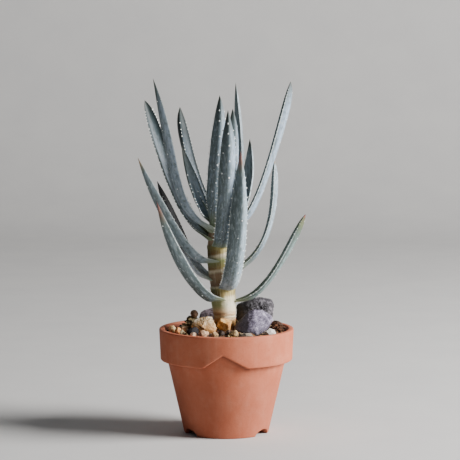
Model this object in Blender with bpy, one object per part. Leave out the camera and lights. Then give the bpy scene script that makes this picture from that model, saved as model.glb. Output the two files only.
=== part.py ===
"""A young aloe in a small terracotta pot, built as the separate pieces of the real thing.

Sizes are in millimetres and are turned into metres where a mesh is made. Places are measured from
the pot's own axis, with z = 0 under the pot's foot. +X is to the right of the plant's front view,
-Y is towards the viewer. Everything hangs on one empty, which puts the origin under the middle of
the whole plant.
"""

import math
from typing import NamedTuple

import bmesh
import bpy
import numpy as np

MM = 0.001
GAP = 0.3
UP = np.array([0.0, 0.0, 1.0])

# Where the pot's axis stands from the middle of the whole object
POT_X = 2.6

# Pot
POT_HEIGHT = 70.0
RIM_RADIUS = 45.0
BAND_FOOT_RADIUS = 44.1
BAND_HEIGHT = 21.0
NECK_RADIUS = 39.5
FOOT_RADIUS = 28.3
LIP_WALL = 3.6
RIM_ROUND = 0.8
INNER_NECK_RADIUS = 36.0
INNER_FLOOR_RADIUS = 26.0
RECESS_RADIUS = 23.0
RECESS_DEPTH = 3.0
FLOOR_TOP = 8.0
DRAIN_RADIUS = 6.0
FOOT_EDGE = 0.5
RECESS_EDGE = 0.8
BAND_EDGE = 0.7
BAND_CREASE = 0.4
POT_COLUMNS = 60
COLUMN_SPACE = 1.6

# The point in the collar's lower edge, as angles from the front and a rise
COLLAR_LEFT = -21.0
COLLAR_PEAK = -3.0
COLLAR_RIGHT = 18.5
COLLAR_RISE = 8.9

# Arched notches in the foot
NOTCH_ANGLES = (-58.0, 58.0, 180.0)
NOTCH_HALF_WIDTH = 7.4
NOTCH_HEIGHT = 4.3
NOTCH_SIDES = 12

# Soil
SOIL_EDGE = 67.0
SOIL_CROWN = 70.0
SOIL_COLUMNS = 40
SOIL_CLEARANCE = 0.35
GRAIN_COUNT = 52
GRAIN_SEED = 4
GRAIN_SIZES = (1.5, 3.1)
GRAIN_FROM = 10.0
GRAIN_TO = 38.6

# Stem: height, sideways place and radius of each ring
STEM_RINGS = (
    (46.0, -0.8, 6.9),
    (66.0, -1.0, 7.0),
    (73.0, -1.1, 7.1),
    (77.0, -1.2, 7.4),
    (82.0, -1.5, 7.9),
    (86.0, -1.8, 8.2),
    (89.5, -1.9, 8.6),
    (91.0, -2.0, 8.2),
    (96.5, -2.3, 8.4),
    (98.5, -2.5, 8.7),
    (99.5, -2.7, 8.2),
    (105.0, -3.4, 8.3),
    (107.0, -3.7, 8.7),
    (108.0, -3.8, 8.3),
    (114.0, -4.2, 8.5),
    (116.0, -4.3, 8.8),
    (117.0, -4.3, 8.3),
    (124.0, -4.4, 8.4),
    (126.5, -4.4, 8.7),
    (127.5, -4.3, 8.2),
    (134.0, -4.1, 8.0),
    (141.0, -3.6, 6.8),
    (147.0, -3.1, 5.0),
    (151.0, -2.8, 3.0),
)
STEM_SIDES = 20
STEM_HOLE_X = -1.0
STEM_HOLE_RADIUS = 7.4
STEM_HOLE_FLOOR = 45.7

# Leaves
ROOT_REACH = 4.5
ROOT_HOLD = 0.18
TIP_HOLD = 0.52
TOOTH_STEP = 4.2
TOOTH_HEIGHT = 0.9
TOOTH_FOOT = 0.30
TOOTH_PEAK = 0.55
TOOTH_BACK = 0.74
TOOTH_LEAN = 0.25
TOOTH_FADE = 0.4
TOOTHLESS_ROOT = 3
TOOTHLESS_TIP = 2
ROLL_OVER = 0.3
WAIST_TO = 0.25
TAPER_FROM = 0.46
TAPER_POWER = 3.4
DEPTH_RATIO = 0.44
ROOT_DEPTH = 0.6
ROOT_DEPTH_TO = 0.2
DEPTH_FADE = 0.2
TIP_SWELL = 0.68
TIP_SWELL_FROM = 0.45
BACK_ACROSS = 0.62
BACK_DEPTH = 0.74
CHANNEL_RATIO = 0.14
SECTION = 6
ROOT_SECTIONS = 12


class Leaf(NamedTuple):
    """A leaf by where it leaves the stem and where its tip is, in mm and degrees."""

    root_z: float
    turn: float
    rise: float
    tip: tuple
    tip_rise: float
    width: float
    roll: float = 0.0
    root_hold: float = ROOT_HOLD
    tip_hold: float = TIP_HOLD


# From the lowest and oldest to the youngest at the crown
LEAVES = {
    "leaf_01": Leaf(91.0, 225, 4, (-45.5, -29.7, 157.7), 67, 10.6, 6, 0.16, 0.73),
    "leaf_02": Leaf(89.0, -7, -2, (52.6, -4.0, 146.6), 46, 9.0, 12, 0.35, 0.20),
    "leaf_03": Leaf(97.5, -59, 17, (9.4, -23.4, 189.8), 88, 13.7, 0, 0.10, 0.62),
    "leaf_04": Leaf(101.0, 80, 22, (5.0, 42.0, 158.0), 60, 9.4),
    "leaf_05": Leaf(104.0, 157, 5, (-46.7, 18.1, 167.2), 60, 11.4, 0, 0.23),
    "leaf_06": Leaf(106.5, 18, 22, (32.4, 20.3, 180.4), 74, 8.1, -14, 0.50, 0.20),
    "leaf_07": Leaf(116.0, 210, 5, (-57.8, -24.8, 185.7), 61, 10.5, 2, 0.21, 0.67),
    "leaf_08": Leaf(118.0, 100, 25, (-6.0, 41.0, 182.0), 68, 9.6),
    "leaf_09": Leaf(125.0, -75, 39, (1.1, -23.9, 216.5), 95, 12.4, 0, 0.10, 0.45),
    "leaf_10": Leaf(131.0, 174, 19, (-54.5, 8.8, 221.6), 64, 8.9, -54, 0.26, 0.22),
    "leaf_11": Leaf(131.0, 47, 34, (15.7, 20.1, 195.1), 90, 9.8, 5, 0.20),
    "leaf_12": Leaf(136.5, 208, 24, (-47.9, -17.9, 237.0), 69, 9.2, 1, 0.35),
    "leaf_13": Leaf(138.0, 1, -2, (42.6, 4.0, 234.2), 67, 10.0, 1, 0.20, 0.20),
    "leaf_14": Leaf(139.0, 237, 60, (-4.4, -11.5, 225.7), 101, 10.3, 10, 0.23, 0.35),
    "leaf_15": Leaf(142.0, 173, 40, (-29.9, 3.8, 192.4), 71, 10.0, -34, 0.15, 0.78),
    "leaf_16": Leaf(146.0, 144, 38, (-31.2, 20.1, 216.7), 77, 9.9, 5, 0.24, 0.36),
    "leaf_17": Leaf(147.0, 15, 57, (6.2, 4.1, 233.4), 91, 7.5, 8, 0.26),
    "leaf_18": Leaf(149.0, -35, 68, (4.2, -5.4, 216.7), 87, 10.2, -6, 0.18, 0.40),
}
CROWN_LEAVES = 7
CROWN_WAIST = 0.72


class Stone(NamedTuple):
    """A stone by its middle, its three sizes, its turn about the upright, and its look."""

    middle: tuple
    size: tuple
    turn: float
    seed: int
    facets: int
    colour: tuple


PURPLE = (0.20, 0.16, 0.20)
DARK_PURPLE = (0.12, 0.10, 0.12)
CREAM = (0.62, 0.47, 0.28)
AMBER = (0.62, 0.36, 0.12)
BLACK = (0.03, 0.025, 0.03)
BROWN = (0.20, 0.12, 0.07)
OLIVE = (0.16, 0.13, 0.07)
PINK = (0.60, 0.43, 0.33)
WHITE = (0.70, 0.66, 0.60)
BEIGE = (0.45, 0.36, 0.27)
ORANGE = (0.55, 0.25, 0.09)
GREENISH = (0.55, 0.52, 0.36)
PEACH = (0.66, 0.48, 0.34)
RUST = (0.20, 0.09, 0.05)
STRAW = (0.60, 0.54, 0.36)

STONES = {
    "pebble_amber": Stone((-1.4, -15.2, 73.8), (10.0, 8.6, 10.4), 0, 9, 5, AMBER),
    "pebble_bead": Stone((-21.4, -1.4, 79.6), (5.4, 5.4, 5.4), 0, 2, 0, BROWN),
    "pebble_olive": Stone((-22.6, -0.5, 72.6), (9.0, 8.6, 8.2), 30, 14, 5, OLIVE),
    "pebble_black": Stone((-21.8, -26.9, 70.9), (9.2, 5.2, 7.2), 8, 16, 6, BLACK),
    "pebble_pink": Stone((-14.6, -32.2, 70.2), (8.0, 6.6, 6.6), 15, 17, 4, PINK),
    "pebble_beige": Stone((-7.4, -32.8, 69.8), (4.8, 6.0, 5.2), 0, 19, 3, BEIGE),
    "pebble_cream": Stone((-35.6, -12.2, 70.4), (5.6, 6.0, 6.0), 0, 21, 3, CREAM),
    "pebble_orange": Stone((-31.8, -19.4, 70.4), (5.0, 5.6, 6.0), 10, 22, 4, ORANGE),
    "pebble_green": Stone((-28.6, -24.8, 70.2), (4.6, 5.0, 5.8), 0, 24, 3, GREENISH),
    "pebble_flat": Stone((-27.8, -14.6, 71.0), (5.0, 5.6, 4.2), 0, 25, 3, PINK),
    "pebble_white": Stone((28.6, -24.0, 70.4), (8.6, 6.6, 6.2), 20, 27, 3, WHITE),
    "pebble_slate": Stone((12.6, -32.0, 69.2), (10.6, 6.0, 4.6), 8, 28, 4, BEIGE),
    "pebble_ochre": Stone((4.9, -29.4, 70.2), (6.4, 6.0, 6.0), 10, 35, 4, CREAM),
    "pebble_peach": Stone((-21.2, -32.2, 69.8), (4.8, 3.8, 4.2), 12, 37, 2, PEACH),
    "pebble_rust": Stone((34.2, 0.4, 71.6), (9.0, 8.4, 7.4), 10, 39, 7, RUST),
    "pebble_straw": Stone((10.6, 0.8, 72.0), (4.6, 4.2, 5.4), 0, 41, 3, STRAW),
    "chip_left": Stone((-3.0, -27.4, 69.8), (4.4, 4.6, 5.2), 0, 31, 4, BLACK),
    "chip_right": Stone((1.2, -25.6, 70.2), (3.8, 4.0, 5.0), 40, 33, 4, BLACK),
}
STONE_SEAT = 0.3

# The big broken rocks, each by its corners
ROCKS = {
    "rock_front": (
        (4.2, -9.6, 71.6),
        (5.0, -15.3, 70.3),
        (7.8, -9.2, 76.0),
        (15.0, -8.2, 83.0),
        (18.2, -9.6, 83.8),
        (24.0, -7.0, 83.0),
        (30.4, -5.2, 79.0),
        (31.4, -8.0, 76.2),
        (28.2, -14.5, 74.4),
        (24.4, -19.2, 70.6),
        (19.8, -24.0, 68.6),
        (13.6, -21.8, 69.2),
        (16.5, -2.0, 80.0),
        (27.0, -2.2, 68.0),
        (8.5, -4.6, 68.0),
        (19.4, -21.6, 66.4),
        (8.0, -15.0, 67.0),
    ),
    "rock_back": (
        (7.4, 10.0, 85.3),
        (12.0, 5.0, 86.0),
        (18.4, 7.0, 88.2),
        (21.5, 13.0, 89.4),
        (30.4, 12.0, 88.2),
        (31.2, 8.0, 86.0),
        (32.8, 13.0, 83.0),
        (30.8, 7.0, 78.0),
        (13.6, 3.0, 79.0),
        (22.0, 2.2, 80.0),
        (8.0, 8.0, 68.0),
        (12.0, 3.4, 67.0),
        (25.0, 4.4, 67.0),
        (30.0, 13.0, 68.0),
        (27.0, 21.0, 68.0),
        (12.0, 20.0, 68.0),
        (14.0, 20.0, 84.0),
        (27.0, 20.6, 85.0),
    ),
    "rock_left": (
        (-18.6, 15.0, 75.0),
        (-17.6, 13.6, 78.7),
        (-14.6, 14.0, 80.3),
        (-9.8, 14.4, 81.8),
        (-6.2, 15.0, 81.0),
        (-6.6, 11.0, 76.0),
        (-10.0, 9.6, 70.0),
        (-17.4, 10.4, 70.0),
        (-19.0, 16.0, 68.0),
        (-14.0, 22.0, 68.0),
        (-6.0, 21.0, 68.0),
        (-6.2, 12.4, 68.0),
        (-14.0, 20.0, 79.0),
        (-7.0, 20.0, 79.6),
    ),
    "rock_cream": (
        (-23.4, -18.6, 75.0),
        (-21.6, -18.0, 77.8),
        (-18.0, -17.4, 79.5),
        (-13.0, -18.4, 80.3),
        (-9.2, -16.8, 80.4),
        (-7.9, -18.6, 76.6),
        (-5.8, -21.4, 72.0),
        (-6.3, -23.2, 69.8),
        (-12.0, -23.2, 71.2),
        (-16.0, -22.4, 74.2),
        (-20.4, -21.0, 73.6),
        (-22.4, -20.0, 68.0),
        (-20.0, -14.0, 68.0),
        (-10.0, -13.0, 68.5),
        (-8.0, -22.0, 67.6),
        (-16.0, -21.6, 67.8),
        (-12.0, -13.4, 77.4),
        (-19.0, -14.0, 76.2),
    ),
}
ROCK_COLOURS = {
    "rock_front": PURPLE,
    "rock_back": DARK_PURPLE,
    "rock_left": DARK_PURPLE,
    "rock_cream": CREAM,
}

STONE_SWELLS = 5
STONE_SWELL = 0.07
FACET_REACH = (0.62, 0.84)


def clear_scene():
    for old in list(bpy.data.objects):
        bpy.data.objects.remove(old, do_unlink=True)


def material(name, colour, roughness):
    made = bpy.data.materials.new(name)
    made.use_nodes = True
    shader = made.node_tree.nodes["Principled BSDF"]
    shader.inputs["Base Color"].default_value = (*colour, 1.0)
    shader.inputs["Roughness"].default_value = roughness
    shader.inputs["Metallic"].default_value = 0.0
    made.diffuse_color = (*colour, 1.0)
    return made


def object_from(name, points, faces, finish=None):
    """A mesh object from points in mm, with its faces turned outwards."""
    mesh = bpy.data.meshes.new(name)
    mesh.from_pydata([tuple(MM * float(c) for c in p) for p in points], [], faces)
    work = bmesh.new()
    work.from_mesh(mesh)
    bmesh.ops.recalc_face_normals(work, faces=work.faces)
    work.to_mesh(mesh)
    work.free()
    made = bpy.data.objects.new(name, mesh)
    bpy.context.scene.collection.objects.link(made)
    if finish:
        mesh.materials.append(finish)
    return made


def round_shading(made, degrees):
    made.data.shade_smooth()
    made.data.set_sharp_from_angle(angle=math.radians(degrees))


def combine(made, others, operation):
    """Applies one Boolean with a collection of other objects, then removes them."""
    group = bpy.data.collections.new("tools")
    for other in others:
        group.objects.link(other)
    step = made.modifiers.new("combine", "BOOLEAN")
    step.operation = operation
    step.operand_type = "COLLECTION"
    step.collection = group
    step.solver = "EXACT"
    bpy.context.view_layer.update()
    result = made.evaluated_get(bpy.context.evaluated_depsgraph_get())
    joined = bpy.data.meshes.new_from_object(result)
    made.modifiers.clear()
    old = made.data
    made.data = joined
    joined.name = made.name
    bpy.data.meshes.remove(old)
    for other in others:
        bpy.data.objects.remove(other, do_unlink=True)
    bpy.data.collections.remove(group)
    keep_largest(made.data)


def keep_largest(mesh):
    """Drops loose scraps that a cut leaves behind."""
    work = bmesh.new()
    work.from_mesh(mesh)
    left = set(work.verts)
    islands = []
    while left:
        island = {left.pop()}
        edge = list(island)
        while edge:
            point = edge.pop()
            for link in point.link_edges:
                other = link.other_vert(point)
                if other in left:
                    left.remove(other)
                    island.add(other)
                    edge.append(other)
        islands.append(island)
    islands.sort(key=len)
    scraps = [v for island in islands[:-1] for v in island]
    bmesh.ops.delete(work, geom=scraps, context="VERTS")
    work.to_mesh(mesh)
    work.free()


def tube(rings):
    """Points and faces of a solid through closed rings of equally many points, ends shut flat."""
    points = [point for ring in rings for point in ring]
    sides = len(rings[0])
    last = len(points) - sides
    faces = [tuple(range(sides)), tuple(last + k for k in range(sides))]
    for low in range(0, last, sides):
        for k in range(sides):
            after = (k + 1) % sides
            faces.append((low + k, low + after, low + sides + after, low + sides + k))
    return points, faces


def circle(x, radius, z, sides):
    """A level ring of points about a place on the X axis."""
    turns = [2 * math.pi * k / sides for k in range(sides)]
    return [(x + radius * math.cos(turn), radius * math.sin(turn), z) for turn in turns]


def body_radius(z):
    """Outer radius of the pot's tapered body, carried on up behind the collar."""
    under_band = POT_HEIGHT - BAND_HEIGHT
    return FOOT_RADIUS + (NECK_RADIUS - FOOT_RADIUS) * z / under_band


def band_radius(z):
    share = (z - (POT_HEIGHT - BAND_HEIGHT)) / BAND_HEIGHT
    return BAND_FOOT_RADIUS + (RIM_RADIUS - BAND_FOOT_RADIUS) * share


def inner_radius(z):
    """Radius of the pot's inner wall at a height above the neck."""
    neck = POT_HEIGHT - BAND_HEIGHT
    top = POT_HEIGHT - RIM_ROUND
    inner_top = RIM_RADIUS - LIP_WALL
    return INNER_NECK_RADIUS + (inner_top - INNER_NECK_RADIUS) * (z - neck) / (top - neck)


def collar_edge(angle):
    """Height of the collar's lower edge at this angle from the front, in degrees."""
    level = POT_HEIGHT - BAND_HEIGHT
    if angle <= COLLAR_LEFT or angle >= COLLAR_RIGHT:
        return level
    if angle < COLLAR_PEAK:
        return level + COLLAR_RISE * (angle - COLLAR_LEFT) / (COLLAR_PEAK - COLLAR_LEFT)
    return level + COLLAR_RISE * (COLLAR_RIGHT - angle) / (COLLAR_RIGHT - COLLAR_PEAK)


def pot_angles():
    """Even columns from the front, with the collar's three corners among them."""
    even = [360.0 * k / POT_COLUMNS - 180.0 for k in range(POT_COLUMNS)]
    corners = [COLLAR_LEFT, COLLAR_PEAK, COLLAR_RIGHT]
    kept = [a for a in even if min(abs(a - c) for c in corners) > COLUMN_SPACE]
    return sorted(kept + corners)


def pot_outline(angle):
    """The pot's section at this angle, as (radius, z), from the drain hole round to the floor."""
    edge = collar_edge(angle)
    inner_top = RIM_RADIUS - LIP_WALL
    return [
        (DRAIN_RADIUS, RECESS_DEPTH),
        (RECESS_RADIUS, RECESS_DEPTH),
        (RECESS_RADIUS + RECESS_EDGE, 0.0),
        (FOOT_RADIUS - FOOT_EDGE, 0.0),
        (FOOT_RADIUS, FOOT_EDGE),
        (body_radius(edge - BAND_CREASE), edge - BAND_CREASE),
        (body_radius(edge) + BAND_CREASE, edge),
        (band_radius(edge) - BAND_EDGE, edge),
        (band_radius(edge), edge + BAND_EDGE),
        (RIM_RADIUS, POT_HEIGHT - RIM_ROUND),
        (RIM_RADIUS - RIM_ROUND, POT_HEIGHT),
        (inner_top + RIM_ROUND, POT_HEIGHT),
        (inner_top, POT_HEIGHT - RIM_ROUND),
        (INNER_NECK_RADIUS, POT_HEIGHT - BAND_HEIGHT),
        (INNER_FLOOR_RADIUS, FLOOR_TOP),
        (DRAIN_RADIUS, FLOOR_TOP),
    ]


def make_notch(angle):
    """An arched cutter that runs outwards through the foot ring."""
    out = math.radians(angle)
    rings = []
    for reach in (RECESS_RADIUS - 3.0, FOOT_RADIUS + 4.0):
        ring = []
        for k in range(NOTCH_SIDES):
            turn = 2 * math.pi * k / NOTCH_SIDES
            across = NOTCH_HALF_WIDTH * math.cos(turn)
            x = reach * math.sin(out) + across * math.cos(out)
            y = -reach * math.cos(out) + across * math.sin(out)
            ring.append((x, y, NOTCH_HEIGHT * math.sin(turn)))
        rings.append(ring)
    return object_from("notch", *tube(rings))


def make_pot():
    """The pot's section carried round the axis, with the notches cut from its foot."""
    angles = pot_angles()
    points = []
    faces = []
    count = len(pot_outline(0.0))
    for angle in angles:
        turn = math.radians(angle)
        for radius, z in pot_outline(angle):
            points.append((radius * math.sin(turn), -radius * math.cos(turn), z))
    for column in range(len(angles)):
        here = column * count
        after = (column + 1) % len(angles) * count
        for row in range(count):
            below = (row + 1) % count
            faces.append((here + row, here + below, after + below, after + row))
    finish = material("terracotta", (0.50, 0.19, 0.10), 0.85)
    pot = object_from("pot", points, faces, finish)
    combine(pot, [make_notch(a) for a in NOTCH_ANGLES], "DIFFERENCE")
    round_shading(pot, 30)
    return pot


def stem_at(z):
    """Sideways place and radius of the stem at a height."""
    heights = [ring[0] for ring in STEM_RINGS]
    x = float(np.interp(z, heights, [ring[1] for ring in STEM_RINGS]))
    radius = float(np.interp(z, heights, [ring[2] for ring in STEM_RINGS]))
    return x, radius


def stem_shape(extra):
    """The stem's solid, with this much added all round and at the top."""
    rings = [circle(x, radius + extra, z, STEM_SIDES) for z, x, radius in STEM_RINGS]
    rings[-1] = [(x, y, z + extra) for x, y, z in rings[-1]]
    return tube(rings)


def make_stem():
    finish = material("stem", (0.62, 0.52, 0.27), 0.6)
    stem = object_from("stem", *stem_shape(0.0), finish)
    round_shading(stem, 40)
    return stem


def unit(rows):
    """Each row of an array as a direction of length one."""
    return rows / np.linalg.norm(rows, axis=-1, keepdims=True)


def leaf_controls(leaf):
    """Outward directions at root and tip, and the four points that steer a leaf's curve."""
    turn = math.radians(leaf.turn)
    rise = math.radians(leaf.rise)
    tip_rise = math.radians(leaf.tip_rise)
    outward = np.array([math.cos(turn), math.sin(turn), 0.0])
    root = np.array([stem_at(leaf.root_z)[0], 0.0, leaf.root_z]) + ROOT_REACH * outward
    tip = np.array(leaf.tip)
    length = np.linalg.norm(tip - root)
    plan = unit((tip - root) * (1.0, 1.0, 0.0))
    start = outward * math.cos(rise) + UP * math.sin(rise)
    end = plan * math.cos(tip_rise) + UP * math.sin(tip_rise)
    near_root = root + leaf.root_hold * length * start
    near_tip = tip - leaf.tip_hold * length * end
    return outward, plan, (root, near_root, near_tip, tip)


def leaf_line(leaf, count):
    """Points, forward, sideways and upward directions along a leaf's middle, root to tip."""
    outward, plan, (a, b, c, d) = leaf_controls(leaf)
    share = np.linspace(0.0, 1.0, count + 1)[:, None]
    rest = 1.0 - share
    line = rest**3 * a + 3 * rest**2 * share * b + 3 * rest * share**2 * c + share**3 * d
    forward = unit(rest**2 * (b - a) + 2 * rest * share * (c - b) + share**2 * (d - c))
    facing = unit(outward * rest + plan * share)
    climb = forward[:, 2:3]
    run = np.sqrt(np.maximum(1.0 - climb**2, 0.0))
    upward = UP * run - facing * climb
    upward -= (upward * forward).sum(axis=1, keepdims=True) * forward
    upward = unit(upward)
    sideways = np.cross(forward, upward)
    roll = math.radians(leaf.roll) * np.minimum(1.0, share / ROLL_OVER)
    rolled_up = upward * np.cos(roll) + sideways * np.sin(roll)
    rolled_side = sideways * np.cos(roll) - upward * np.sin(roll)
    return line, forward, rolled_side, rolled_up


def leaf_length(leaf):
    line = leaf_line(leaf, 40)[0]
    return float(np.linalg.norm(np.diff(line, axis=0), axis=1).sum())


def leaf_width(leaf, share, waist):
    """Width at a share of the way to the tip: narrower at the root, then even, then a lance tip."""
    widening = waist + (1.0 - waist) * min(1.0, share / WAIST_TO)
    past = max(0.0, (share - TAPER_FROM) / (1.0 - TAPER_FROM))
    return leaf.width * widening * (1.0 - past**TAPER_POWER)


def leaf_depth(leaf, share, waist):
    """Thickness from the margins to the keel: thin where it clasps the stem, full at the tip."""
    swell = ROOT_DEPTH + (1.0 - ROOT_DEPTH) * min(1.0, share / ROOT_DEPTH_TO)
    swell -= DEPTH_FADE * share
    swell += TIP_SWELL * max(0.0, (share - TIP_SWELL_FROM) / (1.0 - TIP_SWELL_FROM))
    return DEPTH_RATIO * leaf_width(leaf, share, waist) * swell


def leaf_section(leaf, share, waist, extra):
    """One section's points as (across, up): margin, back, keel, back, margin and channel."""
    half = leaf_width(leaf, share, waist) / 2
    depth = leaf_depth(leaf, share, waist) + extra
    channel = 2 * CHANNEL_RATIO * half
    if extra:
        channel = -extra
        half += TOOTH_HEIGHT + extra
    back = BACK_ACROSS * half
    low = -BACK_DEPTH * depth
    return ((half, 0.0), (back, low), (0.0, -depth), (-back, low), (-half, 0.0), (0.0, -channel))


def leaf_shape(leaf, waist, extra=0.0):
    """Points and faces of a leaf with teeth, or of the wider room that it needs if extra is given."""
    count = max(8, round(leaf_length(leaf) / TOOTH_STEP))
    line, forward, sideways, upward = leaf_line(leaf, count)
    points = []
    faces = []
    for i in range(count):
        for across, up in leaf_section(leaf, i / count, waist, extra):
            points.append(line[i] + across * sideways[i] + up * upward[i])
    points.append(line[count] + extra * forward[count])
    tip = len(points) - 1
    for i in range(count - 1):
        low = SECTION * i
        high = low + SECTION
        faces.append((low + 1, low + 2, high + 2, high + 1))
        faces.append((low + 2, low + 3, high + 3, high + 2))
        toothed = not extra and TOOTHLESS_ROOT <= i < count - TOOTHLESS_TIP
        for margin, back, side in ((0, 1, 1.0), (4, 3, -1.0)):
            chain = [low + margin, high + margin]
            if toothed:
                chain = add_tooth(points, chain, side * sideways[i], forward[i], i / count)
            for inner in (back, 5):
                faces.extend(fan(low + inner, high + inner, chain))
    last = SECTION * (count - 1)
    for k in range(SECTION):
        faces.append((last + k, last + (k + 1) % SECTION, tip))
    faces.append((0, 1, 2, 5))
    faces.append((2, 3, 4, 5))
    return points, faces


def add_tooth(points, chain, outward, forward, share):
    """Adds one tooth to a margin edge and returns the edge's new chain of point numbers."""
    start = points[chain[0]]
    end = points[chain[1]]
    height = TOOTH_HEIGHT * (1.0 - TOOTH_FADE * share)
    foot = start + TOOTH_FOOT * (end - start)
    peak = start + TOOTH_PEAK * (end - start) + height * (outward + TOOTH_LEAN * forward)
    back = start + TOOTH_BACK * (end - start)
    number = len(points)
    points.extend([foot, peak, back])
    return [chain[0], number, number + 1, number + 2, chain[1]]


def fan(low, high, chain):
    """Triangles between an inner edge and a margin's chain, meeting at the tooth's peak."""
    middle = (len(chain) - 1) // 2
    found = []
    if len(chain) == 2:
        return [(low, chain[0], chain[1]), (low, chain[1], high)]
    for k in range(middle):
        found.append((low, chain[k], chain[k + 1]))
    found.append((low, chain[middle], high))
    for k in range(middle, len(chain) - 1):
        found.append((high, chain[k], chain[k + 1]))
    return found


def waist_of(name):
    crown = list(LEAVES)[-CROWN_LEAVES:]
    return CROWN_WAIST if name in crown else 1.0


def boxes_meet(first, second):
    """Whether the boxes round two sets of points overlap."""
    first = np.array(first)
    second = np.array(second)
    low = np.maximum(first.min(axis=0), second.min(axis=0))
    high = np.minimum(first.max(axis=0), second.max(axis=0))
    return bool((low < high).all())


def make_leaf(name, finish):
    """One leaf, cut back from the stem and from the younger leaves that its root clasps."""
    leaf = LEAVES[name]
    points, faces = leaf_shape(leaf, waist_of(name))
    made = object_from(name, points, faces, finish)
    combine(made, [object_from("stem_room", *stem_shape(GAP))], "DIFFERENCE")
    younger = list(LEAVES)[list(LEAVES).index(name) + 1 :]
    root_part = SECTION * ROOT_SECTIONS
    for other in younger:
        room_points, room_faces = leaf_shape(LEAVES[other], waist_of(other), GAP)
        if boxes_meet(points[:root_part], room_points[:root_part]):
            combine(made, [object_from("leaf_room", room_points, room_faces)], "DIFFERENCE")
    round_shading(made, 35)
    return made


def ball(subdivisions):
    """Points and faces of an even ball of radius one."""
    work = bmesh.new()
    bmesh.ops.create_icosphere(work, subdivisions=subdivisions, radius=1.0)
    points = np.array([v.co for v in work.verts])
    faces = [tuple(v.index for v in f.verts) for f in work.faces]
    work.free()
    return points, faces


def turned(points, degrees):
    """Points turned about the upright."""
    turn = math.radians(degrees)
    cosine = math.cos(turn)
    sine = math.sin(turn)
    return points @ np.array([[cosine, sine, 0.0], [-sine, cosine, 0.0], [0.0, 0.0, 1.0]])


def stone_shape(stone, extra=0.0):
    """A ball cut by flat facets and stretched to the stone's size, as points and faces."""
    points, faces = ball(2)
    rng = np.random.default_rng(stone.seed)
    for swell in unit(rng.normal(size=(STONE_SWELLS, 3))):
        points *= (1.0 + STONE_SWELL * np.maximum(points @ swell, 0.0))[:, None]
    for _ in range(stone.facets):
        normal = unit(rng.normal(size=3))
        over = np.maximum(points @ normal - rng.uniform(*FACET_REACH), 0.0)
        points -= over[:, None] * normal
    low = points.min(axis=0)
    high = points.max(axis=0)
    size = np.array(stone.size) + 2 * extra
    points = (points - (low + high) / 2) / (high - low) * size
    return turned(points, stone.turn) + np.array(stone.middle), faces


def rock_shape(corners, extra=0.0):
    """The smallest closed shape round a rock's corners, as points and faces."""
    points = np.array(corners)
    low = points.min(axis=0)
    high = points.max(axis=0)
    middle = (low + high) / 2
    points = middle + (points - middle) * (high - low + 2 * extra) / (high - low)
    work = bmesh.new()
    for point in points:
        work.verts.new(point)
    bmesh.ops.convex_hull(work, input=work.verts)
    loose = [v for v in work.verts if not v.link_faces]
    bmesh.ops.delete(work, geom=loose, context="VERTS")
    work.verts.index_update()
    shell = [tuple(v.co) for v in work.verts]
    faces = [tuple(v.index for v in f.verts) for f in work.faces]
    work.free()
    return shell, faces


def make_stones():
    shapes = {name: rock_shape(corners) for name, corners in ROCKS.items()}
    colours = dict(ROCK_COLOURS)
    for name, stone in STONES.items():
        shapes[name] = stone_shape(stone)
        colours[name] = stone.colour
    for name, (points, faces) in shapes.items():
        made = object_from(name, points, faces, material(name, colours[name], 0.8))
        round_shading(made, 25)


def soil_top(radius):
    """Height of the soil: a little heaped towards the stem."""
    share = radius / (RIM_RADIUS - LIP_WALL)
    return SOIL_CROWN - (SOIL_CROWN - SOIL_EDGE) * share**2


def make_grain(rng):
    """One small stone of the soil's top layer, half sunk in it."""
    angle = rng.uniform(0, 2 * math.pi)
    size = rng.uniform(*GRAIN_SIZES)
    reach = GRAIN_FROM + (GRAIN_TO - GRAIN_FROM - 1.3 * size) * math.sqrt(rng.uniform())
    points, faces = ball(1)
    points *= rng.uniform(0.8, 1.1, size=(len(points), 1))
    points *= size * np.array([rng.uniform(0.8, 1.25), 1.0, rng.uniform(0.7, 0.95)])
    points[:, 0] += reach
    points[:, 2] += soil_top(reach) + 0.15 * size
    return object_from("grain", turned(points, math.degrees(angle)), faces)


def soil_shape():
    """The fill's solid, from the pot's floor up to the heap round the stem."""
    rings = [
        (INNER_FLOOR_RADIUS, FLOOR_TOP + GAP),
        (INNER_NECK_RADIUS, POT_HEIGHT - BAND_HEIGHT),
        (inner_radius(SOIL_EDGE), SOIL_EDGE),
    ]
    rings = [(radius - SOIL_CLEARANCE, z) for radius, z in rings]
    rings += [(radius, soil_top(radius)) for radius in (30.0, 20.0, STEM_HOLE_RADIUS + 1.0)]
    return tube([circle(0.0, radius, z, SOIL_COLUMNS) for radius, z in rings])


def make_soil():
    """The fill of the pot: a layer of grains, a plain hole for the stem, and each stone's seat."""
    finish = material("soil", (0.09, 0.06, 0.04), 0.95)
    soil = object_from("soil", *soil_shape(), finish)
    rng = np.random.default_rng(GRAIN_SEED)
    combine(soil, [make_grain(rng) for _ in range(GRAIN_COUNT)], "UNION")
    hole = [
        circle(STEM_HOLE_X, STEM_HOLE_RADIUS, z, STEM_SIDES)
        for z in (STEM_HOLE_FLOOR, SOIL_CROWN + 12.0)
    ]
    cutters = [object_from("stem_hole", *tube(hole))]
    for stone in STONES.values():
        cutters.append(object_from("seat", *stone_shape(stone, STONE_SEAT)))
    for corners in ROCKS.values():
        cutters.append(object_from("seat", *rock_shape(corners, STONE_SEAT)))
    combine(soil, cutters, "DIFFERENCE")
    return soil


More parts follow.
